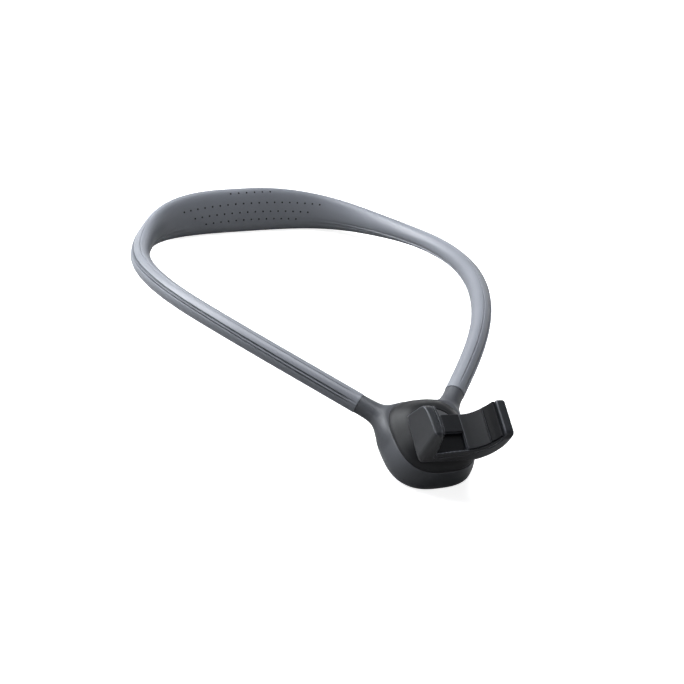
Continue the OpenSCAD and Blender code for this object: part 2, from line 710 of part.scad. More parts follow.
module wave_spring() {
  on_swivel() color("#9fa3a8") translate([0, 0, spring_low]) difference() {
    cylinder(d = retainer_d, h = spring_t);
    cylinder(r = bushing_in + bushing_wall / 2, h = spring_t);
  }
}

module retaining_washer() {
  on_swivel() color("#a9adb2") translate([0, 0, retainer_low]) difference() {
    cylinder(d = retainer_d, h = retainer_t);
    cylinder(d = swivel_shank_d + 2 * screw_clear, h = retainer_t);
  }
}

module swivel_screw() {
  on_swivel() color("#8e9195") {
    translate([0, 0, retainer_low - swivel_head_h / 2]) cylinder(d = swivel_shank_d, h = shaft_d);
    translate([0, 0, retainer_low - swivel_head_h]) cylinder(d = swivel_head_d, h = swivel_head_h);
  }
}

module tilt_pin() {
  on_swivel() color("#b9bcc0") translate([0, -hinge_off, hinge_h]) rotate([0, 90, 0]) {
    translate([0, 0, -ear_x1 - pin_head_h]) cylinder(r = pin_r, h = 2 * ear_x1 + 1.5 * pin_head_h);
    translate([0, 0, ear_x1]) cylinder(r = pin_head_r, h = pin_head_h);
  }
}

module tilt_nut() {
  on_swivel() color("#a9adb2") translate([-ear_x1 - pin_head_h, -hinge_off, hinge_h])
    rotate([0, 90, 0]) difference() {
      cylinder(r = pin_head_r, h = pin_head_h, $fn = 6);
      cylinder(r = pin_r + screw_clear, h = pin_head_h);
    }
}

module tilt_washers() {
  on_swivel() color("#c9c6ba") for (x = [-ear_x0, knuckle_w / 2]) {
    translate([x, -hinge_off, hinge_h]) rotate([0, 90, 0]) difference() {
      cylinder(r = ear_r, h = hinge_washer_t);
      cylinder(r = pin_r + pin_run, h = hinge_washer_t);
    }
  }
}

// Cradle, drawn in its own frame: y along the gripped camera, origin on its floor

module on_cradle() {
  on_swivel() translate([0, -hinge_off, hinge_h]) rotate([cradle_lean, 0, 0])
    translate([0, -hinge_back, -axis_z]) children();
}

module tilt_knuckle() {
  on_cradle() color("#33353a") difference() {
    translate([-knuckle_w / 2, 0, 0]) rotate([90, 0, 90]) union() {
      linear_extrude(knuckle_w) polygon([
        [hinge_back - heel_share * ear_r, -floor_t], [cradle_c, -floor_t],
        [cradle_c, -floor_t - knuckle_base_t / 2], [hinge_back + neck_share * ear_r, axis_z],
        [hinge_back - neck_share * ear_r, axis_z],
        [hinge_back - foot_share * ear_r, -floor_t - knuckle_base_t],
        [hinge_back - heel_share * ear_r, -floor_t - knuckle_base_t]]);
      translate([hinge_back, axis_z, 0]) cylinder(r = ear_r, h = knuckle_w);
    }
    translate([-knuckle_w, hinge_back, axis_z]) rotate([0, 90, 0])
      cylinder(r = pin_r + pin_run, h = 2 * knuckle_w);
    at_knuckle_screws() translate([0, 0, -floor_t - knuckle_base_t + small_r / 2])
      cylinder(r = small_hole, h = knuckle_base_t);
  }
}

module at_knuckle_screws() {
  for (share = knuckle_screw_shares) {
    translate([0, hinge_back + share * ear_r, 0]) children();
  }
}

// Height of the seats of the knuckle screws' heads in the cradle's floor
knuckle_seat = -floor_t / 2 - small_r;
module knuckle_screws() {
  on_cradle() color("#8e9195") at_knuckle_screws() {
    translate([0, 0, -floor_t - knuckle_base_t + small_r])
      cylinder(r = small_r, h = floor_t + knuckle_base_t + knuckle_seat);
    translate([0, 0, knuckle_seat]) cylinder(r = head_r, h = small_head_h);
  }
}

// Inside lines of the jaws, and the same lines set back by the given depth
function inside(shares, lip, high) =
  [for (s = shares) [well_a + s[0] * (lip - well_a), s[1] * high]];
left_inside = inside(left_shares, left_lip, left_h);
right_inside = inside(right_shares, right_lip, right_h);
function set_back(line, deep) = [for (i = [0 : len(line) - 1])
  let (n = len(line) - 1, d = unit(line[min(i + 1, n)] - line[max(i - 1, 0)]))
  i == 0 ? [line[0][0], -deep]
  : i == n ? [line[n][0] + deep, line[n][1]]
  : line[i] + deep * [d[1], -d[0]]];
function arc(x, y, r, from, to) = [for (k = [0 : 8])
  let (g = from + (to - from) * k / 8) [x + r * cos(g), y + r * sin(g)]];
function right_line(deep) = concat(
  set_back(right_inside, deep),
  [[right_lip + deep + bead_rise / 2, right_top]],
  arc(right_out - jaw_round, right_top - jaw_round, jaw_round, 90, 0),
  [for (s = outer_shares) [s[0] * right_out, -s[1] * near_floor_t]]);
function left_line(deep) = concat(
  set_back(left_inside, deep),
  [[left_lip + deep + jaw_rise / 2, left_top]],
  arc(left_out - edge_round, left_top - edge_round, edge_round, 90, 0),
  arc(left_out - low_round, low_round - near_floor_t, low_round, 0, -90));
function mirrored(line) = [for (i = [len(line) - 1 : -1 : 0]) [-line[i][0], line[i][1]]];

// A slice of the cradle's U section between two places along its length
module u_slice(deep, from, to) {
  translate([0, to, 0]) rotate([90, 0, 0]) linear_extrude(to - from)
    polygon(concat(right_line(deep), mirrored(left_line(deep))));
}

// Side view of one jaw with its rounded corners, over the width from x0 to x1
module side_mask(top, far_r, near_r, x0, x1) {
  translate([x0, 0, 0]) rotate([90, 0, 90]) linear_extrude(x1 - x0)
    polygon(concat(
      arc(cradle_c - far_r, top - far_r, far_r, 0, 90),
      arc(near_r - cradle_c, top - near_r, near_r, 90, 180),
      arc(end_round - cradle_c, end_round - near_floor_t, end_round, 180, 270),
      [[hinge_back - heel_share * ear_r, -floor_t]],
      arc(cradle_c - end_round, end_round - floor_t, end_round, 270, 360)));
}

module left_mask(x1) {
  side_mask(left_top, far_round, near_round, -2 * left_out, x1);
}

module right_mask() {
  intersection() {
    side_mask(right_top, near_round, open_round, 0, right_out);
    translate([0, 0, -near_floor_t]) linear_extrude(near_floor_t + right_top)
      polygon(concat([[0, -cradle_c]],
        arc(right_out - plan_round, plan_round - cradle_c, plan_round, 270, 360),
        [[right_out, cradle_c], [0, cradle_c]]));
  }
}

module cradle_body() {
  on_cradle() color("#3a3c40") difference() {
    intersection() {
      union() {
        u_slice(0, -cradle_c, rim_y);
        u_slice(lining_t, rim_y, cradle_c);
      }
      union() {
        left_mask(well_a / 2);
        right_mask();
      }
    }
    translate([-well_a, rim_y, -recess_deep - recess_pad_t])
      cube([2 * well_a, plate_y - rim_y, floor_t]);
    at_knuckle_screws() {
      translate([0, 0, -floor_t]) cylinder(r = small_hole, h = floor_t);
      translate([0, 0, knuckle_seat]) cylinder(r = head_r + screw_clear, h = floor_t);
    }
  }
}

// The lining of one jaw, drawn on the right
module grip_pad(line) {
  outer = set_back(line, lining_t);
  translate([0, cradle_c, 0]) rotate([90, 0, 0]) linear_extrude(cradle_c - rim_y)
    polygon(concat(line, [for (i = [len(line) - 1 : -1 : 0]) outer[i]]));
}

module left_grip_pad() {
  on_cradle() color("#1f2022") intersection() {
    mirror([1, 0, 0]) grip_pad(left_inside);
    left_mask(0);
  }
}

module right_grip_pad() {
  on_cradle() color("#1f2022") intersection() {
    grip_pad(right_inside);
    right_mask();
  }
}

module floor_plate() {
  on_cradle() color("#2a2b2e") translate([-well_a, plate_y, -lining_t])
    cube([2 * well_a, plate_l, lining_t]);
}

module recess_pad() {
  on_cradle() color("#141516") translate([-well_a, rim_y, -recess_deep - recess_pad_t])
    cube([2 * well_a, plate_y - rim_y, recess_pad_t]);
}

neck_sleeve();
core_wire();
core_ferrules();
ferrule_screws();
hub_skirt();
back_cover();
back_cover_screws();
dome_cover();
dome_screws();
inner_frame();
swivel_bushing();
friction_washer();
swivel_disc();
swivel_flange();
flange_screws();
wave_spring();
retaining_washer();
swivel_screw();
tilt_pin();
tilt_nut();
tilt_washers();
tilt_knuckle();
knuckle_screws();
cradle_body();
left_grip_pad();
right_grip_pad();
floor_plate();
recess_pad();
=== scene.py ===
import json
import math

import bpy
import numpy as np
from mathutils import Euler, Matrix


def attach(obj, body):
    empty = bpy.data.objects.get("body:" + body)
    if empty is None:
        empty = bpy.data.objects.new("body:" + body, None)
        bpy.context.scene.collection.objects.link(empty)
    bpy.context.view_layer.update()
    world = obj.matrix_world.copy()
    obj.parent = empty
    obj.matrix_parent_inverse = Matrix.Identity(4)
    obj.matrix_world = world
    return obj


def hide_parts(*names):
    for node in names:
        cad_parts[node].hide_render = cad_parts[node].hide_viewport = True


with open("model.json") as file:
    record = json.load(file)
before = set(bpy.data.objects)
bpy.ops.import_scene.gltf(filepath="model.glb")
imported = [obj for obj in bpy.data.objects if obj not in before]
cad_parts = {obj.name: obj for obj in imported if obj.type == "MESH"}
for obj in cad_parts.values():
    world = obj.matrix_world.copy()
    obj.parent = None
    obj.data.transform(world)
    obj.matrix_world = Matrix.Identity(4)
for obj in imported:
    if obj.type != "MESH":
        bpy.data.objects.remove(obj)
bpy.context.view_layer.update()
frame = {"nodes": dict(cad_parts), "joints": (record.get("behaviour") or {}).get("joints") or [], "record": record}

# Frames
# Lengths are millimetres in the hub's own frame: x across, y towards the neck pad, z out of
# the hub's face. The record's swivel joint gives its place and lean.
MM_PER_M = 1000
joints = {j["name"]: j for j in frame["joints"]}
CENTRE = np.array(joints["head_swivel"]["pos_m"], float)
NORMAL = np.array(joints["head_swivel"]["axis"], float)
LEAN = math.atan2(-NORMAL[1], NORMAL[2])


def turn_x(p, g):
    c, s = math.cos(g), math.sin(g)
    return np.stack([p[..., 0], p[..., 1] * c - p[..., 2] * s, p[..., 1] * s + p[..., 2] * c], -1)


def turn_z(p, g):
    c, s = math.cos(g), math.sin(g)
    return np.stack([p[..., 0] * c - p[..., 1] * s, p[..., 0] * s + p[..., 1] * c, p[..., 2]], -1)


def hub(p):
    """Hub frame in mm to the row frame in metres."""
    return CENTRE + turn_x(np.asarray(p, float), LEAN) / MM_PER_M


# The tilt hinge in the hub's frame, and where it lies in the cradle's own frame
HINGE_OFF, HINGE_H, HINGE_BACK, AXIS_Z = 5.8, 10.3, 6.2, -9.65
CRADLE_LEAN, HEAD_TURN = math.radians(7), math.radians(-4.5)


def cradle(p):
    """Cradle frame in mm (y along the gripped camera, origin on its floor) to the row frame."""
    q = np.asarray(p, float) - [0, HINGE_BACK, AXIS_Z]
    return hub(turn_z(turn_x(q, CRADLE_LEAN) + [0, -HINGE_OFF, HINGE_H], HEAD_TURN))


# Camera
# Its place in metres and its turn in degrees fit the photo. The focal length is in photo pixels.
CAMERA_AT, CAMERA_TURN = (-0.46504, -0.77685, 0.55382), (58.305, -10.27, -24.658)
FOCAL_PX, PHOTO_PX, SENSOR_MM = 2237, 684, 36
NEAREST, FARTHEST = 0.05, 20
lens = bpy.data.cameras.new("camera")
lens.sensor_width = SENSOR_MM
lens.lens = FOCAL_PX / PHOTO_PX * SENSOR_MM
lens.clip_start, lens.clip_end = NEAREST, FARTHEST
camera = bpy.data.objects.new("camera", lens)
bpy.context.scene.collection.objects.link(camera)
camera_turn = Euler([math.radians(v) for v in CAMERA_TURN]).to_matrix().to_4x4()
camera.matrix_world = Matrix.Translation(CAMERA_AT) @ camera_turn
bpy.context.scene.camera = camera


# Materials
def node(tree, kind, **values):
    """New shader node. Each value goes to the input of that name, or else to the setting."""
    n = tree.nodes.new(kind)
    for k, v in values.items():
        if k in n.inputs:
            n.inputs[k].default_value = v
        else:
            setattr(n, k, v)
    return n


def wire(tree, *pairs):
    """Link each output to the input beside it."""
    for start, end in pairs:
        tree.links.new(start, end)


def empty_tree(owner):
    """The node tree of a material or world, with no nodes in it."""
    owner.use_nodes = True
    owner.node_tree.nodes.clear()
    return owner.node_tree


# Scale of the patches of shade, where the noise turns from one shade to the other, depth of
# the grain in metres, and the pointiness of a flat place and of a sharp edge
PATCHES, SHADE_FROM, SHADE_TO, GRAIN_DEEP = 60, 0.3, 0.7, 0.00008
FLAT_PLACE, SHARP_EDGE = 0.51, 0.58


def finish_of(name, colour, shade, rough, rough_spread, grain, bump, shine=0.28, edge_highlight_gain=1, metal=0):
    """Moulded plastic, rubber or metal: two close shades, uneven gloss, a fine grain, and
    a painted highlight that makes sharp edges paler."""
    m = bpy.data.materials.new(name)
    t = empty_tree(m)
    out = t.nodes.new("ShaderNodeOutputMaterial")
    shader = node(t, "ShaderNodeBsdfPrincipled", Metallic=metal, **{"Specular IOR Level": shine})
    place = t.nodes.new("ShaderNodeTexCoord")
    large = node(t, "ShaderNodeTexNoise", Scale=PATCHES, Detail=3)
    fine = node(t, "ShaderNodeTexNoise", Scale=grain, Detail=2)
    ramp = t.nodes.new("ShaderNodeValToRGB")
    ends = zip(ramp.color_ramp.elements, (SHADE_FROM, SHADE_TO), (1 - shade, 1 + shade))
    for end, at, k in ends:
        end.position = at
        end.color = (*[c * k for c in colour], 1)
    shape = t.nodes.new("ShaderNodeNewGeometry")
    # Sharp edges found by pointiness get a painted highlight: their colour is scaled up by the gain
    edge = node(t, "ShaderNodeMapRange", **{"From Min": FLAT_PLACE, "From Max": SHARP_EDGE,
                                            "To Min": 1, "To Max": edge_highlight_gain})
    painted_highlight = node(t, "ShaderNodeVectorMath", operation="SCALE")
    gloss = node(t, "ShaderNodeMapRange", **{"To Min": rough - rough_spread,
                                             "To Max": rough + rough_spread})
    relief = node(t, "ShaderNodeBump", Strength=bump, Distance=GRAIN_DEEP)
    wire(t, (place.outputs["Object"], large.inputs["Vector"]),
         (place.outputs["Object"], fine.inputs["Vector"]),
         (large.outputs["Fac"], ramp.inputs[0]),
         (shape.outputs["Pointiness"], edge.inputs["Value"]),
         (ramp.outputs[0], painted_highlight.inputs[0]),
         (edge.outputs[0], painted_highlight.inputs["Scale"]),
         (painted_highlight.outputs[0], shader.inputs["Base Color"]),
         (fine.outputs["Fac"], gloss.inputs["Value"]),
         (gloss.outputs[0], shader.inputs["Roughness"]),
         (fine.outputs["Fac"], relief.inputs["Height"]),
         (relief.outputs[0], shader.inputs["Normal"]),
         (shader.outputs[0], out.inputs[0]))
    return m


# Colour, difference between its shades, roughness and how far it varies, scale and strength of
# the grain; then, where they differ from most, the shine, how many times paler the painted edge
# highlight makes sharp edges, and 1 for a metal
FINISHES = {
    "sleeve": ((0.165, 0.174, 0.197), 0.04, 0.38, 0.06, 2600, 0.35, 0.45),
    "grey_shell": ((0.062, 0.065, 0.073), 0.04, 0.36, 0.05, 3000, 0.3),
    "grey_cover": ((0.085, 0.087, 0.092), 0.05, 0.5, 0.05, 3000, 0.3),
    "dark_shell": ((0.007, 0.0074, 0.0085), 0.05, 0.42, 0.05, 3400, 0.3, 0.17, 2),
    "cradle_shell": ((0.016, 0.017, 0.0198), 0.06, 0.32, 0.06, 3400, 0.3, 0.24, 7),
    "disc_plastic": ((0.05, 0.051, 0.054), 0.05, 0.42, 0.05, 3000, 0.3),
    "pad_rubber": ((0.011, 0.0115, 0.013), 0.08, 0.5, 0.05, 4200, 0.5, 0.13, 6),
    "washer_rubber": ((0.05, 0.05, 0.05), 0.08, 0.6, 0.05, 4200, 0.5),
    "frame_plastic": ((0.1, 0.1, 0.1), 0.05, 0.5, 0.05, 3000, 0.3),
    "bushing_plastic": ((0.72, 0.7, 0.62), 0.04, 0.45, 0.05, 2600, 0.2),
    "steel": ((0.6, 0.61, 0.62), 0.05, 0.32, 0.06, 2000, 0.2, 0.5, 1, 1),
    "screw_steel": ((0.33, 0.34, 0.35), 0.06, 0.36, 0.06, 2000, 0.25, 0.5, 1, 1),
    # Darkest rubber: painted shade in the recess and on the right jaw's steep wall
    "strip_dark": ((0.004, 0.0042, 0.005), 0.2, 0.5, 0.05, 4200, 0.4, 0.08, 4),
    "panel_dark": ((0.0085, 0.009, 0.0105), 0.08, 0.42, 0.05, 3400, 0.3, 0.13, 5),
    # Near-black walls of cut holes and slots: painted shade
    "hole_dark": ((0.01, 0.01, 0.011), 0.2, 0.8, 0.05, 4000, 0.3),
}
MATERIALS = {name: finish_of(name, *values) for name, values in FINISHES.items()}
for part in frame["record"]["subparts"]:
    o = frame["nodes"][part["node"]]
    o.data.materials.clear()
    o.data.materials.append(MATERIALS[part["material_slot"]])


# Mesh helpers
def new_object(name, points, faces, material):
    mesh = bpy.data.meshes.new(name)
    mesh.from_pydata([tuple(p) for p in points], [], [tuple(int(i) for i in f) for f in faces])
    mesh.materials.append(material)
    o = bpy.data.objects.new(name, mesh)
    bpy.context.scene.collection.objects.link(o)
    return o


def piece(name, points, faces, body, stands_for, slot, material=None):
    """A smooth piece that rides on a body and stands for CAD nodes, where any are named. Its
    material is the slot's own unless another is named."""
    o = new_object(name, points, faces, MATERIALS[material or slot])
    o.data.update()
    o.data.polygons.foreach_set("use_smooth", [True] * len(o.data.polygons))
    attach(o, body)
    if stands_for:
        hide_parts(*stands_for)
    return o


CREASE = math.radians(42)


def carve(o, points, faces):
    """Cut a closed form out of a piece. Its walls are painted near black as shade; its edges are sharp."""
    tool = new_object("cutter", points, faces, MATERIALS["hole_dark"])
    m = o.modifiers.new("cut", "BOOLEAN")
    m.operation, m.solver, m.object, m.material_mode = "DIFFERENCE", "EXACT", tool, "TRANSFER"
    bpy.context.view_layer.update()
    cut = bpy.data.meshes.new_from_object(o.evaluated_get(bpy.context.evaluated_depsgraph_get()))
    old, tool_mesh = o.data, tool.data
    o.modifiers.clear()
    o.data = cut
    o.data.set_sharp_from_angle(angle=CREASE)
    bpy.data.objects.remove(tool)
    for mesh in (old, tool_mesh):
        bpy.data.meshes.remove(mesh)


def grid_faces(rows, n):
    """Quads between closed rows of n points each."""
    i = np.arange(rows - 1)[:, None] * n
    j = np.arange(n)[None, :]
    k = (j + 1) % n
    return [tuple(f) for f in np.stack([i + j, i + k, i + n + k, i + n + j], -1).reshape(-1, 4)]


def end_face(row, n):
    """One face over a closed row of n points."""
    return tuple(range(row * n, (row + 1) * n))


def flipped(faces):
    return [f[::-1] for f in faces]


def plug_faces(n):
    """All faces of a closed form between two rows of n points each."""
    return [*grid_faces(2, n), end_face(0, n)[::-1], end_face(1, n)]


# How points settle onto a surface: probe and longest move as shares of the grid's step, the
# passes, and how steep the surface's function is taken to be at least, squared
PROBE_SHARE, MOVE_SHARE, PASSES, LEAST_SLOPE = 0.05, 0.4, 4, 0.2
TINY = 1e-12


def settle(f, points, step):
    """Move points onto the zero surface of f, a little in each pass."""
    probe = step * PROBE_SHARE
    for _ in range(PASSES):
        slope = np.stack([f(points + side) - f(points - side) for side in np.eye(3) * probe], -1)
        slope = slope / (2 * probe)
        steep = np.maximum((slope * slope).sum(-1, keepdims=True), LEAST_SLOPE)
        move = f(points)[:, None] * slope / steep
        size = np.maximum(np.linalg.norm(move, axis=-1, keepdims=True), TINY)
        points = points - move * np.minimum(1, MOVE_SHARE * step / size)
    return points


def surface(f, low, high, step):
    """Points and quads on the zero surface of f, which is negative inside, by surface nets: one
    point for each grid cell that the surface crosses."""
    low, high = np.asarray(low, float), np.asarray(high, float)
    counts = np.ceil((high - low) / step).astype(int) + 1
    ticks = [low[i] + step * np.arange(counts[i]) for i in range(3)]
    grid = np.stack(np.meshgrid(*ticks, indexing="ij"), -1)
    value = f(grid.reshape(-1, 3)).reshape(counts)
    inside = value < 0
    total = np.zeros(tuple(counts - 1) + (3,))
    hits = np.zeros(tuple(counts - 1))
    cuts = []
    for axis in range(3):
        start, end = [slice(None)] * 3, [slice(None)] * 3
        start[axis], end[axis] = slice(0, -1), slice(1, None)
        start, end = tuple(start), tuple(end)
        cut = inside[start] != inside[end]
        share = np.where(cut, value[start] / np.where(cut, value[start] - value[end], 1), 0)
        where = grid[start].copy()
        where[..., axis] += share * step
        cuts.append((cut, inside[start]))
        first, second = [i for i in range(3) if i != axis]
        for d1 in (0, 1):
            for d2 in (0, 1):
                s = [slice(None)] * 3
                s[first] = slice(d1, counts[first] - 1 + d1)
                s[second] = slice(d2, counts[second] - 1 + d2)
                s = tuple(s)
                total += np.where(cut[s][..., None], where[s], 0)
                hits += cut[s]
    used = hits > 0
    number = -np.ones(used.shape, int)
    number[used] = np.arange(used.sum())
    points = total[used] / hits[used][:, None]
    quads = []
    for axis, (cut, starts_inside) in enumerate(cuts):
        first, second = (axis + 1) % 3, (axis + 2) % 3
        at = np.argwhere(cut)
        at = at[(at[:, first] > 0) & (at[:, second] > 0)
                & (at[:, first] < counts[first] - 1) & (at[:, second] < counts[second] - 1)]
        corners = []
        for d1, d2 in ((0, 0), (-1, 0), (-1, -1), (0, -1)):
            cell = at.copy()
            cell[:, first] += d1
            cell[:, second] += d2
            corners.append(number[tuple(cell.T)])
        quad = np.stack(corners, -1)
        quads.append(np.where(starts_inside[tuple(at.T)][:, None], quad, quad[:, ::-1]))
    return settle(f, points, step), np.concatenate(quads)


# Form helpers
def unit(v):
    return v / np.linalg.norm(v, axis=-1, keepdims=True)


def smooth(t):
    """From 0 to 1 without a kink at either end."""
    t = np.clip(t, 0, 1)
    return t * t * (3 - 2 * t)


def smooth_min(a, b, k):
    """Union of two solids, blended where they come within about k of each other."""
    h = np.maximum(k - np.abs(a - b), 0) / k
    return np.minimum(a, b) - h * h * k / 4


def round_max(a, b, r):
    """Intersection of two solids with their common edge rounded by r."""
    return (np.minimum(np.maximum(a, b), -r)
            + np.hypot(np.maximum(a + r, 0), np.maximum(b + r, 0)))


def curve_at(shares, t):
    """Height at t of the smooth curve through shares, which overshoots none of them."""
    x, y = np.asarray(shares, float).T
    h = np.diff(x)
    d = np.diff(y) / h
    both = np.where(d[:-1] + d[1:] == 0, 1, d[:-1] + d[1:])
    inner = np.where(d[:-1] * d[1:] > 0, 2 * d[:-1] * d[1:] / both, 0)
    m = np.concatenate([[d[0]], inner, [d[-1]]])
    t = np.clip(t, x[0], x[-1])
    i = np.clip(np.searchsorted(x, t) - 1, 0, len(h) - 1)
    u = (t - x[i]) / h[i]
    return (y[i] * (1 + 2 * u) * (1 - u) ** 2 + y[i + 1] * u * u * (3 - 2 * u)
            + h[i] * (m[i] * u * (1 - u) ** 2 - m[i + 1] * u * u * (1 - u)))


# Neck sleeve
# The line of the loop, as shares of half its width, its length and its drop towards the pad
HALF_W, LENGTH, DROP = 80.0, 200.0, 70.0
LOOP_SHARES = np.array([
    [0.304, 0.128, 0.08], [0.52, 0.224, 0.092], [0.712, 0.325, 0.137],
    [0.864, 0.433, 0.228], [0.972, 0.547, 0.366], [1.013, 0.659, 0.527],
    [0.977, 0.776, 0.715], [0.84, 0.876, 0.88], [0.63, 0.971, 1.02],
    [0.32, 0.996, 1.02], [0, 0.996, 1]])
half_loop = LOOP_SHARES * [HALF_W, LENGTH, -DROP]
loop = np.concatenate([half_loop, half_loop[-2::-1] * [-1, 1, 1]])
guides = np.concatenate([[2 * loop[0] - loop[1]], loop, [2 * loop[-1] - loop[-2]]])

# Number of the loop's segments, and rows of points in each
LAST = len(loop) - 1
PER_SEGMENT = 14

# Tube and pad sections. At the pad's left shoulder, half the height and the rise both grow by
# up to PAD_SHOULDER; SHOULDER_PEAK brings the bump k * k * (1 - k) to 1.
TUBE_R, PAD_W, PAD_T, PAD_RISE, PAD_LEAN = 4.675, 22.2, 6.8, 1.1, math.radians(50)
PAD_SHOULDER, SHOULDER_PEAK = 1.1, 27 / 4

# Shares of half the loop: the pad runs out over BAND_SHARE from its middle, and from the hub
# the section leans over TURN_SHARE and the grooves start over FADE_SHARE. GROOVE_FADE is how
# early the grooves end before the pad, BAND_POWER how square the pad's section is.
BAND_SHARE, TURN_SHARE, FADE_SHARE = 0.4, 0.85, 0.04
GROOVE_FADE, BAND_POWER = 2.6, 2.2

# Rib and grooves of the tubes: section angle, height, width in degrees, and power of the flank
LIP, GROOVE = 0.35, 1.2
RIDGES = [(32, LIP, 2.8, 2), (40, -GROOVE, 4.4, 4), (25.5, -0.6 * GROOVE, 2.6, 2),
          (88, -0.3 * GROOVE, 2.2, 2)]


def nearness(u):
    """0 at the hub and 1 at the middle of the pad, for u from 0 to 1 along the loop."""
    return 1 - np.abs(2 * u - 1)


def pad_share(u):
    """How far the section is the pad's and no longer the tube's."""
    return 1 - smooth((1 - nearness(u)) / BAND_SHARE)


def section_power(u):
    return 2 / (2 + (BAND_POWER - 2) * pad_share(u))


def pad_edge(u):
    """Half the section's height, and how far its middle lies above the loop's line."""
    k = pad_share(u)
    more = np.where(u > 0.5, SHOULDER_PEAK * PAD_SHOULDER * k * k * (1 - k), 0)
    return TUBE_R + (PAD_W / 2 - TUBE_R) * k + more, PAD_RISE * k + more


def station(u):
    """Place on the loop, a cubic B-spline, with the section's outward and upward sides."""
    i = np.minimum((u * LAST).astype(int), LAST - 1)
    t = (u * LAST - i)[:, None]
    g = [guides[i + k] for k in range(4)]
    place = ((1 - t) ** 3 * g[0] + (3 * t ** 3 - 6 * t ** 2 + 4) * g[1]
             + (-3 * t ** 3 + 3 * t ** 2 + 3 * t + 1) * g[2] + t ** 3 * g[3]) / 6
    slope = unit(-(1 - t) ** 2 * g[0] + (3 * t ** 2 - 4 * t) * g[1]
                 + (-3 * t ** 2 + 2 * t + 1) * g[2] + t ** 2 * g[3])
    k = smooth(nearness(u) / TURN_SHARE)[:, None]
    up = unit((1 - k) * [0, 0, 1] + k * [0, math.cos(PAD_LEAN), math.sin(PAD_LEAN)])
    out = unit(np.cross(slope, up))
    return place, out, np.cross(out, slope)


def sleeve_points(u, degrees):
    """Points of the sleeve's skin: one row of section angles for each u."""
    place, out, up = station(u)
    k = pad_share(u)
    fade = (smooth(nearness(u) / FADE_SHARE) * (1 - k) ** GROOVE_FADE)[:, None]
    half = np.mod(degrees, 180.0)
    cut = sum(height * np.exp(-((half - at) / wide) ** power)
              for at, height, wide, power in RIDGES)[None, :] * fade
    c, s = np.cos(np.radians(degrees)), np.sin(np.radians(degrees))
    a = (TUBE_R + (PAD_T / 2 - TUBE_R) * k)[:, None]
    b, rise = pad_edge(u)
    p = section_power(u)[:, None]
    x = a * np.sign(c) * np.abs(c) ** p + cut * c
    y = b[:, None] * np.sign(s) * np.abs(s) ** p + cut * s + rise[:, None]
    return place[:, None] + x[..., None] * out[:, None] + y[..., None] * up[:, None]


# Section angles, close together at the rib and grooves
COARSE, FINE = 4, 1.2
half_ring = np.concatenate([np.arange(start, end, step) for start, end, step in (
    (0, 16, COARSE), (16, 50, FINE), (50, 82, COARSE), (82, 94, FINE), (94, 180, COARSE))])
ring = np.concatenate([half_ring, half_ring + 180])
skin = sleeve_points(np.linspace(0, 1, LAST * PER_SEGMENT + 1), ring)
rows, n = skin.shape[:2]
faces = [*flipped(grid_faces(rows, n)), end_face(0, n), end_face(rows - 1, n)[::-1]]
sleeve = piece("sleeve", hub(skin.reshape(-1, 3)), faces, "hub", ["neck_sleeve"], "sleeve")

# Blind holes in the pad's inner face: count and section height of each row, the holes' size,
# and the pitch and middle of a row as shares of the loop. SLANT is a direction that no hole
# has, and the last two are small steps along and round the sleeve.
HOLE_ROWS = [(6, 10.1), (19, 4.75), (16, 0.25), (13, -3.65)]
HOLE_R, HOLE_DEEP, HOLE_PROUD, HOLE_TAPER = 0.5, 1.0, 0.5, 0.8
HOLE_PITCH, HOLE_MIDDLE = 0.00836, 0.4978
HOLE_SIDES, SLANT = 12, (0.3, 0.2, 1)
NEAR_U, NEAR_DEGREES = 1e-4, 0.2


def hole_on(u, height):
    """A hole's place on the sleeve, and its direction out of the skin."""
    half, rise = pad_edge(u)
    share = (height - rise) / half
    s = math.copysign(abs(share) ** (1 / section_power(u)), share)
    degrees = 180 - math.degrees(math.asin(s))
    near = sleeve_points(np.array([u, u + NEAR_U]), np.array([degrees, degrees + NEAR_DEGREES]))
    return near[0, 0], unit(np.cross(near[0, 1] - near[0, 0], near[1, 0] - near[0, 0]))


def plugs(places, axes, r, deep, proud):
    """Closed round plugs along their axes, a little narrower below."""
    g = 2 * np.pi * np.arange(HOLE_SIDES) / HOLE_SIDES
    points, faces = [], []
    for q, axis in zip(places, axes):
        a = unit(np.cross(axis, SLANT))
        b = np.cross(axis, a)
        circle = r * (np.cos(g)[:, None] * a + np.sin(g)[:, None] * b)
        faces += [np.add(f, len(points)) for f in plug_faces(HOLE_SIDES)]
        points += [*(q - axis * deep + circle * HOLE_TAPER), *(q + axis * proud + circle)]
    return points, faces


holes = [hole_on(u, height) for count, height in HOLE_ROWS
         for u in HOLE_MIDDLE + HOLE_PITCH * (np.arange(count) - (count - 1) / 2)]
hole_places, hole_axes = (np.array(v) for v in zip(*holes))
carve(sleeve, *plugs(hub(hole_places), turn_x(hole_axes, LEAN), HOLE_R / MM_PER_M,
                     HOLE_DEEP / MM_PER_M, HOLE_PROUD / MM_PER_M))

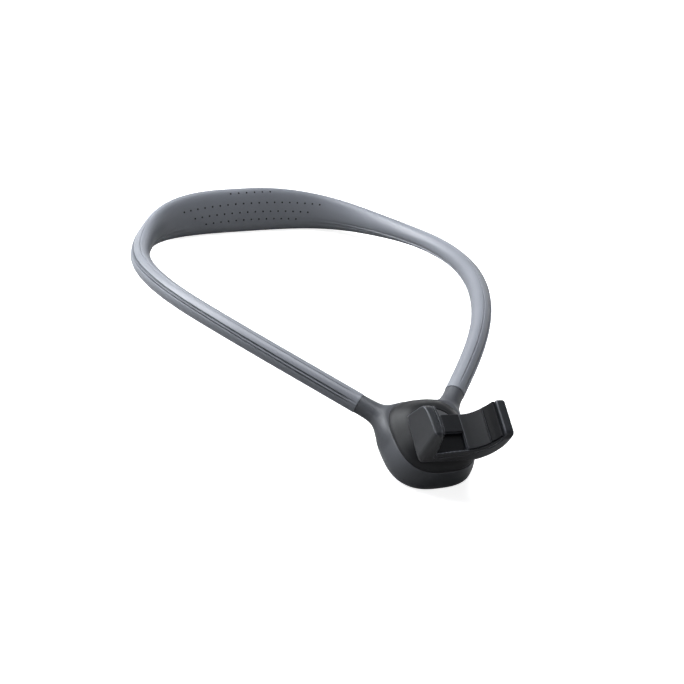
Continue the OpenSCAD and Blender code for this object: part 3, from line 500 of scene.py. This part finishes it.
# Hub
# Half width and half length of the rounded outline at the seam, and its power. The skirt
# below flares out to the back cover, the dome above narrows to its opening. A value ending in
# GRID has the lowest and the highest corner and the step of the grid that meshes a form.
HUB_A, HUB_B, POWER = 18.7, 20.2, 2.7
SKIRT_H, FLARE_W, FLARE_L, WALL, SEAM_ROUND = 9.9, 2.5, 0.3, 1.8, 0.45
BACK_T, BACK_ROUND = 2.3, 1.6
DOME_H, DOME_SHOULDER, OPENING_R, TOP_T = 7.5, 9.2, 9.9, 2.4
DOME_SHARES = [[0, 0], [0.16, 0.3], [0.35, 0.51], [0.61, 0.79], [0.8, 0.93], [1, 1]]
ARM_LEN, ARM_ROOT, MOUTH_R, ARM_END_ROUND, FILLET = 19.5, 9.4, 4.475, 0.2, 6.0
ARM_SHARES = [[0, 0], [0.2, 0.02], [0.41, 0.12], [0.56, 0.3], [0.69, 0.52], [0.79, 0.74],
              [0.9, 0.93], [1, 1]]
ARM_THINNER_SHARE = 0.02
SKIRT_GRID = [-31, -22, -10.3], [31, 33, 0.5], 0.4
LEAST_RADIUS, LEAST_GRADIENT = 1e-4, 0.02
mouth = loop[0]
arm_dir = unit(loop[1] - loop[0])
arm_side = unit(np.cross([0, 0, 1], arm_dir))
arm_up = np.cross(arm_dir, arm_side)


def outline_far(x, y, a, b):
    """Signed distance from the hub's outline, near enough for blending."""
    u, v = np.abs(x) / a, np.abs(y) / b
    g = np.maximum((u ** POWER + v ** POWER) ** (1 / POWER), LEAST_RADIUS)
    gx = (u / g) ** (POWER - 1) / a
    gy = (v / g) ** (POWER - 1) / b
    return (g - 1) / np.maximum(np.hypot(gx, gy), LEAST_GRADIENT)


def arm_far(p):
    """The same for the two arms, oval sections that widen from mouth to root."""
    q = np.stack([np.abs(p[..., 0]), p[..., 1], p[..., 2]], -1) - mouth
    x, y, z = q @ arm_dir, q @ arm_side, q @ arm_up
    s = curve_at(ARM_SHARES, np.clip(-x / ARM_LEN, 0, 1))
    w, h = MOUTH_R + s * (ARM_ROOT - MOUTH_R), MOUTH_R * (1 - ARM_THINNER_SHARE * s)
    g = np.maximum(np.hypot(y / w, z / h), LEAST_RADIUS)
    d = (g - 1) / np.maximum(np.hypot(y / w / w, z / h / h) / g, LEAST_GRADIENT)
    return round_max(d, np.maximum(x, -x - ARM_LEN), ARM_END_ROUND)


def skirt_far(p):
    """The lower shell: flared sides blended into the arms, open above and below."""
    x, y, z = p[..., 0], p[..., 1], p[..., 2]
    s = 1 - (1 - np.clip(-z / SKIRT_H, 0, 1)) ** 2
    sides = outline_far(x, y, HUB_A + FLARE_W * s, HUB_B + FLARE_L * s)
    d = round_max(smooth_min(sides, arm_far(p), FILLET), z, SEAM_ROUND)
    d = np.maximum(d, -SKIRT_H - z)
    return np.maximum(d, -outline_far(x, y, HUB_A - WALL, HUB_B - WALL))


points, quads = surface(skirt_far, *SKIRT_GRID)
skirt = piece("hub_shell", hub(points), quads, "hub", ["hub_skirt"], "grey_shell")

# Tether slot in the left arm, with round ends
SLOT_AT, SLOT_L, SLOT_W, SLOT_DEEP, SLOT_PROUD = 6.5, 3.0, 1.2, 1.4, 1.0
MIRROR = np.array([-1.0, 1, 1])
slot_at = (mouth - arm_dir * SLOT_AT + arm_up * MOUTH_R) * MIRROR
g = np.radians(np.arange(0, 360, 20))
end = np.where(np.cos(g) > 0, 1, -1)
along = (np.cos(g) * SLOT_W / 2 + end * (SLOT_L - SLOT_W) / 2)[:, None]
across = (np.sin(g) * SLOT_W / 2)[:, None]
slot = [slot_at + along * arm_dir * MIRROR + across * arm_side * MIRROR + arm_up * MIRROR * z
        for z in (-SLOT_DEEP, SLOT_PROUD)]
carve(skirt, hub(np.concatenate(slot)), plug_faces(len(g)))

# Points in each row of the back cover and the dome
ROUND_N = 192


def outline(a, b):
    """Points round the hub's outline."""
    g = 2 * np.pi * (np.arange(ROUND_N) + 0.5) / ROUND_N
    c, s = np.cos(g), np.sin(g)
    return np.stack([a * np.sign(c) * np.abs(c) ** (2 / POWER),
                     b * np.sign(s) * np.abs(s) ** (2 / POWER)], -1)


def raised(xy, z):
    """Points with a common height, or each with its own."""
    return np.column_stack([xy, np.broadcast_to(z, len(xy))])


# Back cover: a fine step below the shell, given by inset and height, then a rounded edge, then
# the flat back in rows that close in by shares
SEAM_STEPS = [(1.2, 0.3), (0.45, 0.3), (0.4, -0.05), (0.1, -0.2)]
BACK_ROW_SHARES = (0.85, 0.6, 0.3, 0.05)
back_a, back_b, back_z = HUB_A + FLARE_W, HUB_B + FLARE_L, -SKIRT_H - BACK_T
back_rows = [raised(outline(back_a - inset, back_b - inset), z - SKIRT_H) for inset, z in SEAM_STEPS]
for g in np.radians(np.arange(0, 91, 11.25)):
    inset, z = BACK_ROUND * (1 - math.cos(g)), BACK_ROUND * (1 - math.sin(g))
    back_rows.append(raised(outline(back_a - inset, back_b - inset), back_z + z))
for share in BACK_ROW_SHARES:
    flat = outline((back_a - BACK_ROUND) * share, (back_b - BACK_ROUND) * share)
    back_rows.append(raised(flat, back_z))
faces = flipped([*grid_faces(len(back_rows), ROUND_N), end_face(len(back_rows) - 1, ROUND_N)])
piece("back_plate", hub(np.concatenate(back_rows)), faces, "hub", ["back_cover"], "grey_cover")

# Dome: rows run from the seam over the shoulder to the opening and down its wall. The seam's
# rows are shares of the outline with a height, the rim's are steps outwards and up from it.
SEAM_ROWS = [(0.9, 0.04), (0.99, 0.04), (0.992, 0.08), (0.976, 0.1), (0.974, 0.4)]
RIM_ROWS = [(0.12, -0.02), (0.04, -0.08), (0, -0.25), (0, -TOP_T)]
DOME_ROW_SHARES = np.concatenate([np.linspace(0.03, 0.9, 34), [0.94, 0.965]])
SEAM_H, LEDGE_SHARE, LEDGE_DROP = 0.3, 1.25, 0.1
HALVINGS, DEEPEST_SHARE = 30, 0.98
edge = outline(HUB_A, HUB_B)
angle = np.arctan2(edge[:, 1], edge[:, 0])
hole = OPENING_R * np.stack([np.cos(angle), np.sin(angle)], -1)


def dome_height(xy):
    """Height of the dome, by how far the outline has to shrink before it meets the point."""
    low, high = np.zeros(len(xy)), np.full(len(xy), DEEPEST_SHARE)
    for _ in range(HALVINGS):
        mid = (low + high) / 2
        a, b = HUB_A - mid * DOME_SHOULDER, HUB_B - mid * DOME_SHOULDER
        outside = (np.abs(xy[:, 0]) / a) ** POWER + (np.abs(xy[:, 1]) / b) ** POWER > 1
        high = np.where(outside, mid, high)
        low = np.where(outside, low, mid)
    return DOME_H * curve_at(DOME_SHARES, low)


dome_rows = [raised(edge * share, z) for share, z in SEAM_ROWS]
for t in DOME_ROW_SHARES:
    xy = edge * (1 - t) + hole * t
    dome_rows.append(raised(xy, np.maximum(dome_height(xy), SEAM_H)))
rim = dome_height(hole)
dome_rows += [raised(hole * (1 + out / OPENING_R), rim + z) for out, z in RIM_ROWS]
dome_rows.append(raised(hole * LEDGE_SHARE, rim - TOP_T - LEDGE_DROP))
faces = grid_faces(len(dome_rows), ROUND_N)
piece("dome", hub(np.concatenate(dome_rows)), faces, "hub", ["dome_cover"], "dark_shell")

# Cradle
# In its own frame: x across the channel, l towards its far end, h up from its floor. The tall
# jaw is at the left. The near half reaches lower and has the recess in its floor.
LEFT_LIP, LEFT_H, RIGHT_LIP, RIGHT_H = 12.1, 13.9, 16.4, 10.2
LEFT_OUT, RIGHT_OUT, WELL_A, NEAR_L, FAR_L = 17.4, 22.6, 4.45, 8.9, 9.6
FLOOR_T, NEAR_FLOOR_T, FLOOR_STEP_AT, JAW_RISE, BEAD_RISE = 6.8, 9.2, 0.44, 0.7, 1.8
LINING, RIM, RIM_DROP, RIM_SLOPE = 1.2, 0.9, 0.5, 4
PLATE_AT, RECESS, RECESS_PAD, RECESS_X, RECESS_HALF = 0.8, 2.3, 0.8, -2.7, 7.1
LEFT_TOP, RIGHT_TOP, RIM_AT = LEFT_H + JAW_RISE, RIGHT_H + BEAD_RISE, RIM - NEAR_L

# Roundings: the jaws' tops, the bead's inner edge and the low left edge seen along the
# channel, the ends seen from the side, the corners seen from above, and the edges between
JAW_ROUND, EDGE_ROUND, BEAD_ROUND, LOW_ROUND = 2.4, 1.1, 0.6, 4.2
NEAR_ROUND, OPEN_ROUND, END_ROUND = 1.8, 3.6, 1.2
CORNER_ROUND, PLAN_ROUND, FAR_ROUND, BODY_ROUND = 2.8, 3.2, 1.0, 1.0

# The jaws' inner faces from floor to lip, and the right jaw's outer side below its top
LEFT_SHARES = np.array([[0, 0], [0.54, 0.01], [0.7, 0.06], [0.8, 0.19], [0.9, 0.43], [1, 1]])
RIGHT_INSIDE = [[WELL_A, 0], [7.9, 0.5], [10.0, 1.65], [11.8, 3.1], [13.2, 4.5], [13.3, 5.4],
                [13.8, 5.8], [14.8, 6.9], [15.6, 8.5], [RIGHT_LIP, RIGHT_H]]
OUTER_SHARES = np.array([[0.99, -0.85], [0.97, -0.58], [0.915, -0.26], [0.855, 0.08],
                         [0.755, 0.49], [0.61, 0.8], [0.51, 0.93], [0.4, 1]])

# The tall jaw's far end leans out below, and its top edge falls away towards that end: its
# line seen from the side, and its foot seen from above
FOOT_L = 12.6
LEFT_FAR_LINE = [[12.4, -5.6], [12.3, -4.4], [11.0, 1.0], [8.9, 9.0], [7.7, 11.2], [5.4, 12.5],
                 [0.8, 13.6], [-4.2, 14.3]]
LEFT_FAR_FOOT = [[-10.5, FAR_L], [-11.8, FAR_L + 0.3], [-12.9, FAR_L + 1.6], [-13.6, FOOT_L]]

# The channel's outline at the near rim: on the left, across the top, and on the right the
# jaw's inner face, lowered by RIM_DROP, from NEAR_RIGHT_FROM on. NEAR_LINE is the fine line
# that is cut into the rim below it.
NEAR_LEFT = [[1, -0.95], [-2.5, -1.3], [-7.5, -2.2], [-9.6, -2.2], [-10.5, -1.2], [-10.3, 1.2],
             [-10.0, 4.2], [-11.0, 8.5], [-12.9, 12.6], [-13.8, 15.5]]
NEAR_OPEN = [[RIGHT_LIP + 1, 20], [-13, 20]]
NEAR_RIGHT_FROM = 5
NEAR_LINE = [[-10.3, -2.6], [-10.3, -4.9], [-8.1, -5.8], [0.1, -4.6], [8.4, -2.85], [13, 0.55],
             [16.1, 4.6], [17.3, 8.8]]
LINE_HALF, LINE_DEEP = 0.3, 0.4
SECTION_STEP, SECTION_MARGIN, FINE_STEP, FINE_MARGIN = 0.12, 3.0, 0.08, 1.0
CRADLE_GRID = [-18.4, -9.6, -9.9], [23.6, 13.2, 15.4], 0.27


def cut_corners(line, times):
    """Smooth a line by cutting its corners again and again. Its ends stay."""
    line = np.asarray(line, float)
    for _ in range(times):
        a, b = line[:-1], line[1:]
        mid = np.stack([a * 0.75 + b * 0.25, a * 0.25 + b * 0.75], 1).reshape(-1, 2)
        line = np.concatenate([line[:1], mid, line[-1:]])
    return line


def set_back(line, deep):
    """A jaw's inner face moved into the jaw, its ends still level with floor and lip."""
    d = unit(np.concatenate([line[1:2] - line[:1], line[2:] - line[:-2], line[-1:] - line[-2:-1]]))
    moved = line + deep * np.stack([d[:, 1], -d[:, 0]], -1)
    moved[0] = [line[0][0], -deep]
    moved[-1] = [line[-1][0] + deep, line[-1][1]]
    return moved


def arc(x, y, r, start, end, n=12):
    g = np.radians(np.linspace(start, end, n + 1))
    return np.stack([x + r * np.cos(g), y + r * np.sin(g)], -1)


def ribbon(line, half):
    """Outline of a strip along a line, from half to one side to half to the other."""
    d = unit(np.gradient(line, axis=0)) * half
    side = np.stack([-d[:, 1], d[:, 0]], -1)
    return np.concatenate([line + side, (line - side)[::-1]])


left_inside = cut_corners(LEFT_SHARES * [LEFT_LIP - WELL_A, LEFT_H] + [WELL_A, 0], 3)
right_inside = cut_corners(RIGHT_INSIDE, 2)


def jaw_section(deep):
    """The cradle seen along the channel, with its inside set back by the lining's depth."""
    right = np.concatenate([
        set_back(right_inside, deep),
        arc(RIGHT_LIP + deep + BEAD_ROUND, RIGHT_TOP - BEAD_ROUND, BEAD_ROUND, 180, 90, 6),
        arc(RIGHT_OUT - JAW_ROUND, RIGHT_TOP - JAW_ROUND, JAW_ROUND, 90, 0),
        cut_corners(OUTER_SHARES * [RIGHT_OUT, -NEAR_FLOOR_T], 2)])
    left = np.concatenate([
        set_back(left_inside, deep), [[LEFT_LIP + deep + JAW_RISE / 2, LEFT_TOP]],
        arc(LEFT_OUT - EDGE_ROUND, LEFT_TOP - EDGE_ROUND, EDGE_ROUND, 90, 0),
        arc(LEFT_OUT - LOW_ROUND, LOW_ROUND - NEAR_FLOOR_T, LOW_ROUND, 0, -90)])
    return np.concatenate([right, left[::-1] * [-1, 1]])


def side_view(far_line, top, near_r):
    """The cradle seen from the side: its far end and top, the near end and the stepped floor."""
    return np.concatenate([
        far_line, arc(near_r - NEAR_L, top - near_r, near_r, 90, 180),
        arc(END_ROUND - NEAR_L, END_ROUND - NEAR_FLOOR_T, END_ROUND, 180, 270),
        [[FLOOR_STEP_AT, -FLOOR_T]],
        arc(FAR_L - END_ROUND, END_ROUND - FLOOR_T, END_ROUND, 270, 360)])


class Flat:
    def __init__(self, polygon, step=SECTION_STEP, margin=SECTION_MARGIN):
        p = np.asarray(polygon, float)
        self.low = p.min(0) - margin
        self.step = step
        size = np.ceil((p.max(0) + margin - self.low) / step).astype(int) + 1
        ticks = [self.low[i] + step * np.arange(size[i]) for i in range(2)]
        x, y = np.meshgrid(*ticks, indexing="ij")
        best = np.full(x.shape, np.inf)
        inside = np.zeros(x.shape, bool)
        for a, b in zip(p, np.roll(p, -1, 0)):
            e = b - a
            length = e @ e
            if length < TINY:
                continue
            t = np.clip(((x - a[0]) * e[0] + (y - a[1]) * e[1]) / length, 0, 1)
            best = np.minimum(best, (x - a[0] - t * e[0]) ** 2 + (y - a[1] - t * e[1]) ** 2)
            if abs(e[1]) > TINY:
                crossed = (a[1] > y) != (b[1] > y)
                inside ^= crossed & (x < a[0] + (y - a[1]) * e[0] / e[1])
        self.grid = np.sqrt(best) * np.where(inside, -1, 1)
        # Just inside the last cell
        self.last = np.array(x.shape) - 1.001

    def __call__(self, x, y):
        u = np.clip((x - self.low[0]) / self.step, 0, self.last[0])
        v = np.clip((y - self.low[1]) / self.step, 0, self.last[1])
        i, j = u.astype(int), v.astype(int)
        s, t = u - i, v - j
        g = self.grid
        return (g[i, j] * (1 - s) * (1 - t) + g[i + 1, j] * s * (1 - t)
                + g[i, j + 1] * (1 - s) * t + g[i + 1, j + 1] * s * t)


full_section, lined_section = Flat(jaw_section(0)), Flat(jaw_section(LINING))
near_right = right_inside[right_inside[:, 0] > NEAR_RIGHT_FROM] - [0, RIM_DROP]
near_channel = Flat(np.concatenate([near_right, NEAR_OPEN, cut_corners(NEAR_LEFT, 2)[::-1]]))
near_line = Flat(ribbon(cut_corners(NEAR_LINE, 3), LINE_HALF), FINE_STEP, FINE_MARGIN)
right_far_end = arc(FAR_L - NEAR_ROUND, RIGHT_TOP - NEAR_ROUND, NEAR_ROUND, 0, 90)
left_side = Flat(side_view(cut_corners(LEFT_FAR_LINE, 2), LEFT_TOP, NEAR_ROUND))
right_side = Flat(side_view(right_far_end, RIGHT_TOP, OPEN_ROUND))
plan = Flat(np.concatenate([
    arc(CORNER_ROUND - LEFT_OUT, CORNER_ROUND - NEAR_L, CORNER_ROUND, 180, 270),
    arc(RIGHT_OUT - PLAN_ROUND, PLAN_ROUND - NEAR_L, PLAN_ROUND, 270, 360),
    arc(RIGHT_OUT - FAR_ROUND, FAR_L - FAR_ROUND, FAR_ROUND, 0, 90), LEFT_FAR_FOOT,
    arc(FAR_ROUND - LEFT_OUT, FOOT_L - FAR_ROUND, FAR_ROUND, 90, 180)]))


def ends_far(p):
    """Distance from the cradle's ends and rounded corners, seen from the side and from above."""
    x, l, h = p[..., 0], p[..., 1], p[..., 2]
    return np.maximum(np.where(x < 0, left_side(l, h), right_side(l, h)), plan(x, l))


def recess_far(x, l, h, grow=0.0):
    """Distance from the recess in the near half's floor, made larger at its sides by grow."""
    return np.maximum.reduce([np.abs(x - RECESS_X) - RECESS_HALF - grow, RIM_AT - l - grow,
                              l - PLATE_AT - grow, -RECESS - RECESS_PAD - h])


def cradle_far(p):
    """The shell: full at the near rim, set back for the linings behind it, with line and recess."""
    x, l, h = p[..., 0], p[..., 1], p[..., 2]
    rim = np.maximum(full_section(x, h), -near_channel(x, h))
    lined = np.maximum(lined_section(x, h), rim - RIM_SLOPE * (l - RIM_AT))
    d = round_max(np.where(l < RIM_AT, rim, lined), ends_far(p), BODY_ROUND)
    d = np.maximum(d, -np.maximum(near_line(x, h), l + NEAR_L - LINE_DEEP))
    return np.maximum(d, -recess_far(x, l, h))


points, quads = surface(cradle_far, *CRADLE_GRID)
piece("cradle_shell", cradle(points), quads, "cradle", ["cradle_body"], "cradle_shell")

# Linings of the recess and the jaws
# The gaps keep them clear of the shell's ends, the recess and the near rim. Beyond a step the
# right jaw's lining is darker, painted shade on its steep wall. The last row is for the grid that
# meshes a pad.
PAD_GAP, RIM_GAP, FIT, PAD_EDGE, PART_EDGE = 0.15, 0.1, 0.05, 0.3, 0.2
STEP_AT, STEP_GAP, BEYOND = 13.6, 0.01, 99
RECESS_GRID = [-11, -9, -3.4], [5, 1.5, -2], 0.3
PAD_STEP, PAD_NEAR, PAD_FAR, LOW_SPARE, HIGH_SPARE, FLOOR_SPARE = 0.3, -9, 13, 1.6, 0.6, 0.4


def lining_far(p):
    x, l, h = p[..., 0], p[..., 1], p[..., 2]
    return round_max(recess_far(x, l, h, -PAD_GAP), h + RECESS, PAD_EDGE)


def pad(name, inside, side, stands_for, part=(-BEYOND, BEYOND), material=None):
    """The lining of the left (-1) or right (1) jaw, or the part of it between two distances
    from the channel's middle."""
    outer = set_back(inside, LINING - FIT)
    section = Flat(np.concatenate([inside, outer[::-1]]), FINE_STEP)

    def far(p):
        x, l, h = p[..., 0], p[..., 1], p[..., 2]
        ends = np.maximum(RIM_AT + RIM_GAP - l, l - FAR_L + PAD_GAP)
        d = round_max(section(side * x, h), ends, PAD_EDGE)
        d = round_max(d, np.maximum(part[0] - side * x, side * x - part[1]), PART_EDGE)
        d = round_max(d, ends_far(p) + PAD_GAP, PAD_EDGE)
        return np.maximum(d, -recess_far(x, l, h, FIT))

    low = inside.min(0) - LOW_SPARE
    high = np.maximum(inside.max(0), outer.max(0)) + HIGH_SPARE
    left, right = sorted([side * low[0], side * high[0]])
    points, quads = surface(far, [left, PAD_NEAR, low[1] - FLOOR_SPARE], [right, PAD_FAR, high[1]],
                            PAD_STEP)
    piece(name, cradle(points), quads, "cradle", stands_for, "pad_rubber", material)


points, quads = surface(lining_far, *RECESS_GRID)
# The recess lining takes the darkest rubber as painted shade
piece("recess_lining", cradle(points), quads, "cradle", ["recess_pad"], "pad_rubber", "strip_dark")
pad("jaw_pad_left", left_inside, -1, ["left_grip_pad"])
pad("jaw_pad_right", right_inside, 1, ["right_grip_pad"], (-BEYOND, STEP_AT - STEP_GAP))
# Beyond the step the steep wall takes the darkest rubber as painted shade
pad("jaw_strip_right", right_inside, 1, None, (STEP_AT + STEP_GAP, BEYOND), "strip_dark")

# Floor panel of the far half
PANEL_T, PANEL_ROUND, PANEL_EDGE = 1, 0.3, 0.25
PANEL_GRID = [-5, 0.2, -1.4], [5, 10.2, 0.5], 0.22


def panel_far(p):
    x, l, h = p[..., 0], p[..., 1], p[..., 2]
    across = np.abs(x) - WELL_A + PAD_GAP / 2
    along = np.abs(l - (PLATE_AT + FAR_L) / 2) - (FAR_L - PLATE_AT - PAD_GAP) / 2
    d = round_max(across, along, PANEL_ROUND)
    return round_max(d, np.maximum(h, -PANEL_T - h), PANEL_EDGE)


points, quads = surface(panel_far, *PANEL_GRID)
piece("floor_panel", cradle(points), quads, "cradle", ["floor_plate"], "cradle_shell", "panel_dark")


# Shader helpers for floor and world
def any_ray(tree, *kinds):
    """1 for rays of any of these kinds."""
    path = tree.nodes.new("ShaderNodeLightPath")
    found = path.outputs[kinds[0]]
    for kind in kinds[1:]:
        either = node(tree, "ShaderNodeMath", operation="MAXIMUM")
        wire(tree, (found, either.inputs[0]), (path.outputs[kind], either.inputs[1]))
        found = either.outputs[0]
    return found


def mixed(tree, factor, first, second):
    """Mix of two shaders: the second where the factor is 1."""
    mix = tree.nodes.new("ShaderNodeMixShader")
    wire(tree, (factor, mix.inputs[0]), (first, mix.inputs[1]), (second, mix.inputs[2]))
    return mix.outputs[0]


def grey(level):
    return (level, level, level, 1)


# Floor
# The camera sees a white floor with the object's shadow on it, and glossy surfaces mirror a
# darker one. All other rays meet a dull floor, so little light comes back from it.
FLOOR_HALF, FLOOR_Z = 6, 0
SHADED, GLOWING, DULL, MIRRORED = 0.8, 0.8, 0.1, 0.5
m = bpy.data.materials.new("floor")
t = empty_tree(m)
out = t.nodes.new("ShaderNodeOutputMaterial")
shade = node(t, "ShaderNodeBsdfDiffuse", Color=grey(SHADED))
glow = node(t, "ShaderNodeEmission", Color=grey(1), Strength=GLOWING)
dull = node(t, "ShaderNodeBsdfDiffuse", Color=grey(DULL))
mirrored = node(t, "ShaderNodeBsdfDiffuse", Color=grey(MIRRORED))
seen = t.nodes.new("ShaderNodeAddShader")
wire(t, (shade.outputs[0], seen.inputs[0]), (glow.outputs[0], seen.inputs[1]))
unseen = mixed(t, any_ray(t, "Is Glossy Ray", "Is Transmission Ray"), dull.outputs[0],
               mirrored.outputs[0])
wire(t, (mixed(t, any_ray(t, "Is Camera Ray"), unseen, seen.outputs[0]), out.inputs[0]))
corners = [(x * FLOOR_HALF, y * FLOOR_HALF, FLOOR_Z) for x, y in ((-1, -1), (1, -1), (1, 1), (-1, 1))]
floor = new_object("floor", corners, [(0, 1, 2, 3)], m)

# World: a white backdrop at the horizon under a dim ceiling, with a weak light from all sides
HORIZON_AT, CEILING_AT, CEILING = 0.25, 0.55, (0.2, 0.21, 0.23, 1)
AMBIENT, BACKDROP = 0.11, 1
world = bpy.data.worlds.new("world")
bpy.context.scene.world = world
t = empty_tree(world)
out = t.nodes.new("ShaderNodeOutputWorld")
way = t.nodes.new("ShaderNodeTexCoord")
parts = t.nodes.new("ShaderNodeSeparateXYZ")
fall = t.nodes.new("ShaderNodeValToRGB")
for end, at, colour in zip(fall.color_ramp.elements, (HORIZON_AT, CEILING_AT), (grey(1), CEILING)):
    end.position = at
    end.color = colour
light = node(t, "ShaderNodeBackground", Color=grey(1), Strength=AMBIENT)
shown = node(t, "ShaderNodeBackground", Color=grey(1), Strength=BACKDROP)
wire(t, (way.outputs["Generated"], parts.inputs[0]), (parts.outputs["Z"], fall.inputs[0]),
     (fall.outputs[0], shown.inputs["Color"]))
looking = any_ray(t, "Is Camera Ray", "Is Glossy Ray", "Is Transmission Ray")
wire(t, (mixed(t, looking, light.outputs[0], shown.outputs[0]), out.inputs[0]))

# Lamps: place and aim in metres, width and height, and watts. A lamp steeper than OVERHEAD
# takes its upright side from another axis.
AIM = (0, 0, 0.02)
LAMPS = {
    "key": ((-0.45, 0.45, 0.45), (-0.04, 0.01, 0.02), (0.6, 0.6), 10.3),
    "top": ((0.0, 0.25, 1.2), AIM, (0.8, 0.8), 12),
    "front": ((-0.4, -1.2, 0.9), AIM, (1.3, 1.0), 2.4),
    "rear": ((-0.15, 0.6, 0.6), (-0.02, 0.1, 0.02), (0.3, 0.3), 2.4),
    "left": ((-1.2, 0.2, 0.5), AIM, (0.9, 0.6), 2),
}
LAMP_COLOUR, OVERHEAD = (0.95, 0.975, 1.0), 0.95


def lamp(name, place, aim, size, power):
    """Area lamp that faces its aim."""
    data = bpy.data.lights.new(name, "AREA")
    data.shape = "RECTANGLE"
    data.size, data.size_y = size
    data.energy = power
    data.color = LAMP_COLOUR
    o = bpy.data.objects.new(name, data)
    bpy.context.scene.collection.objects.link(o)
    z = unit(np.subtract(place, aim))
    x = unit(np.cross([0, 0, 1] if abs(z[2]) < OVERHEAD else [0, 1, 0], z))
    y = np.cross(z, x)
    o.matrix_world = Matrix([[x[i], y[i], z[i], place[i]] for i in range(3)] + [[0, 0, 0, 1]])


for name, values in LAMPS.items():
    lamp(name, *values)

bpy.context.scene.view_settings.view_transform = "Standard"
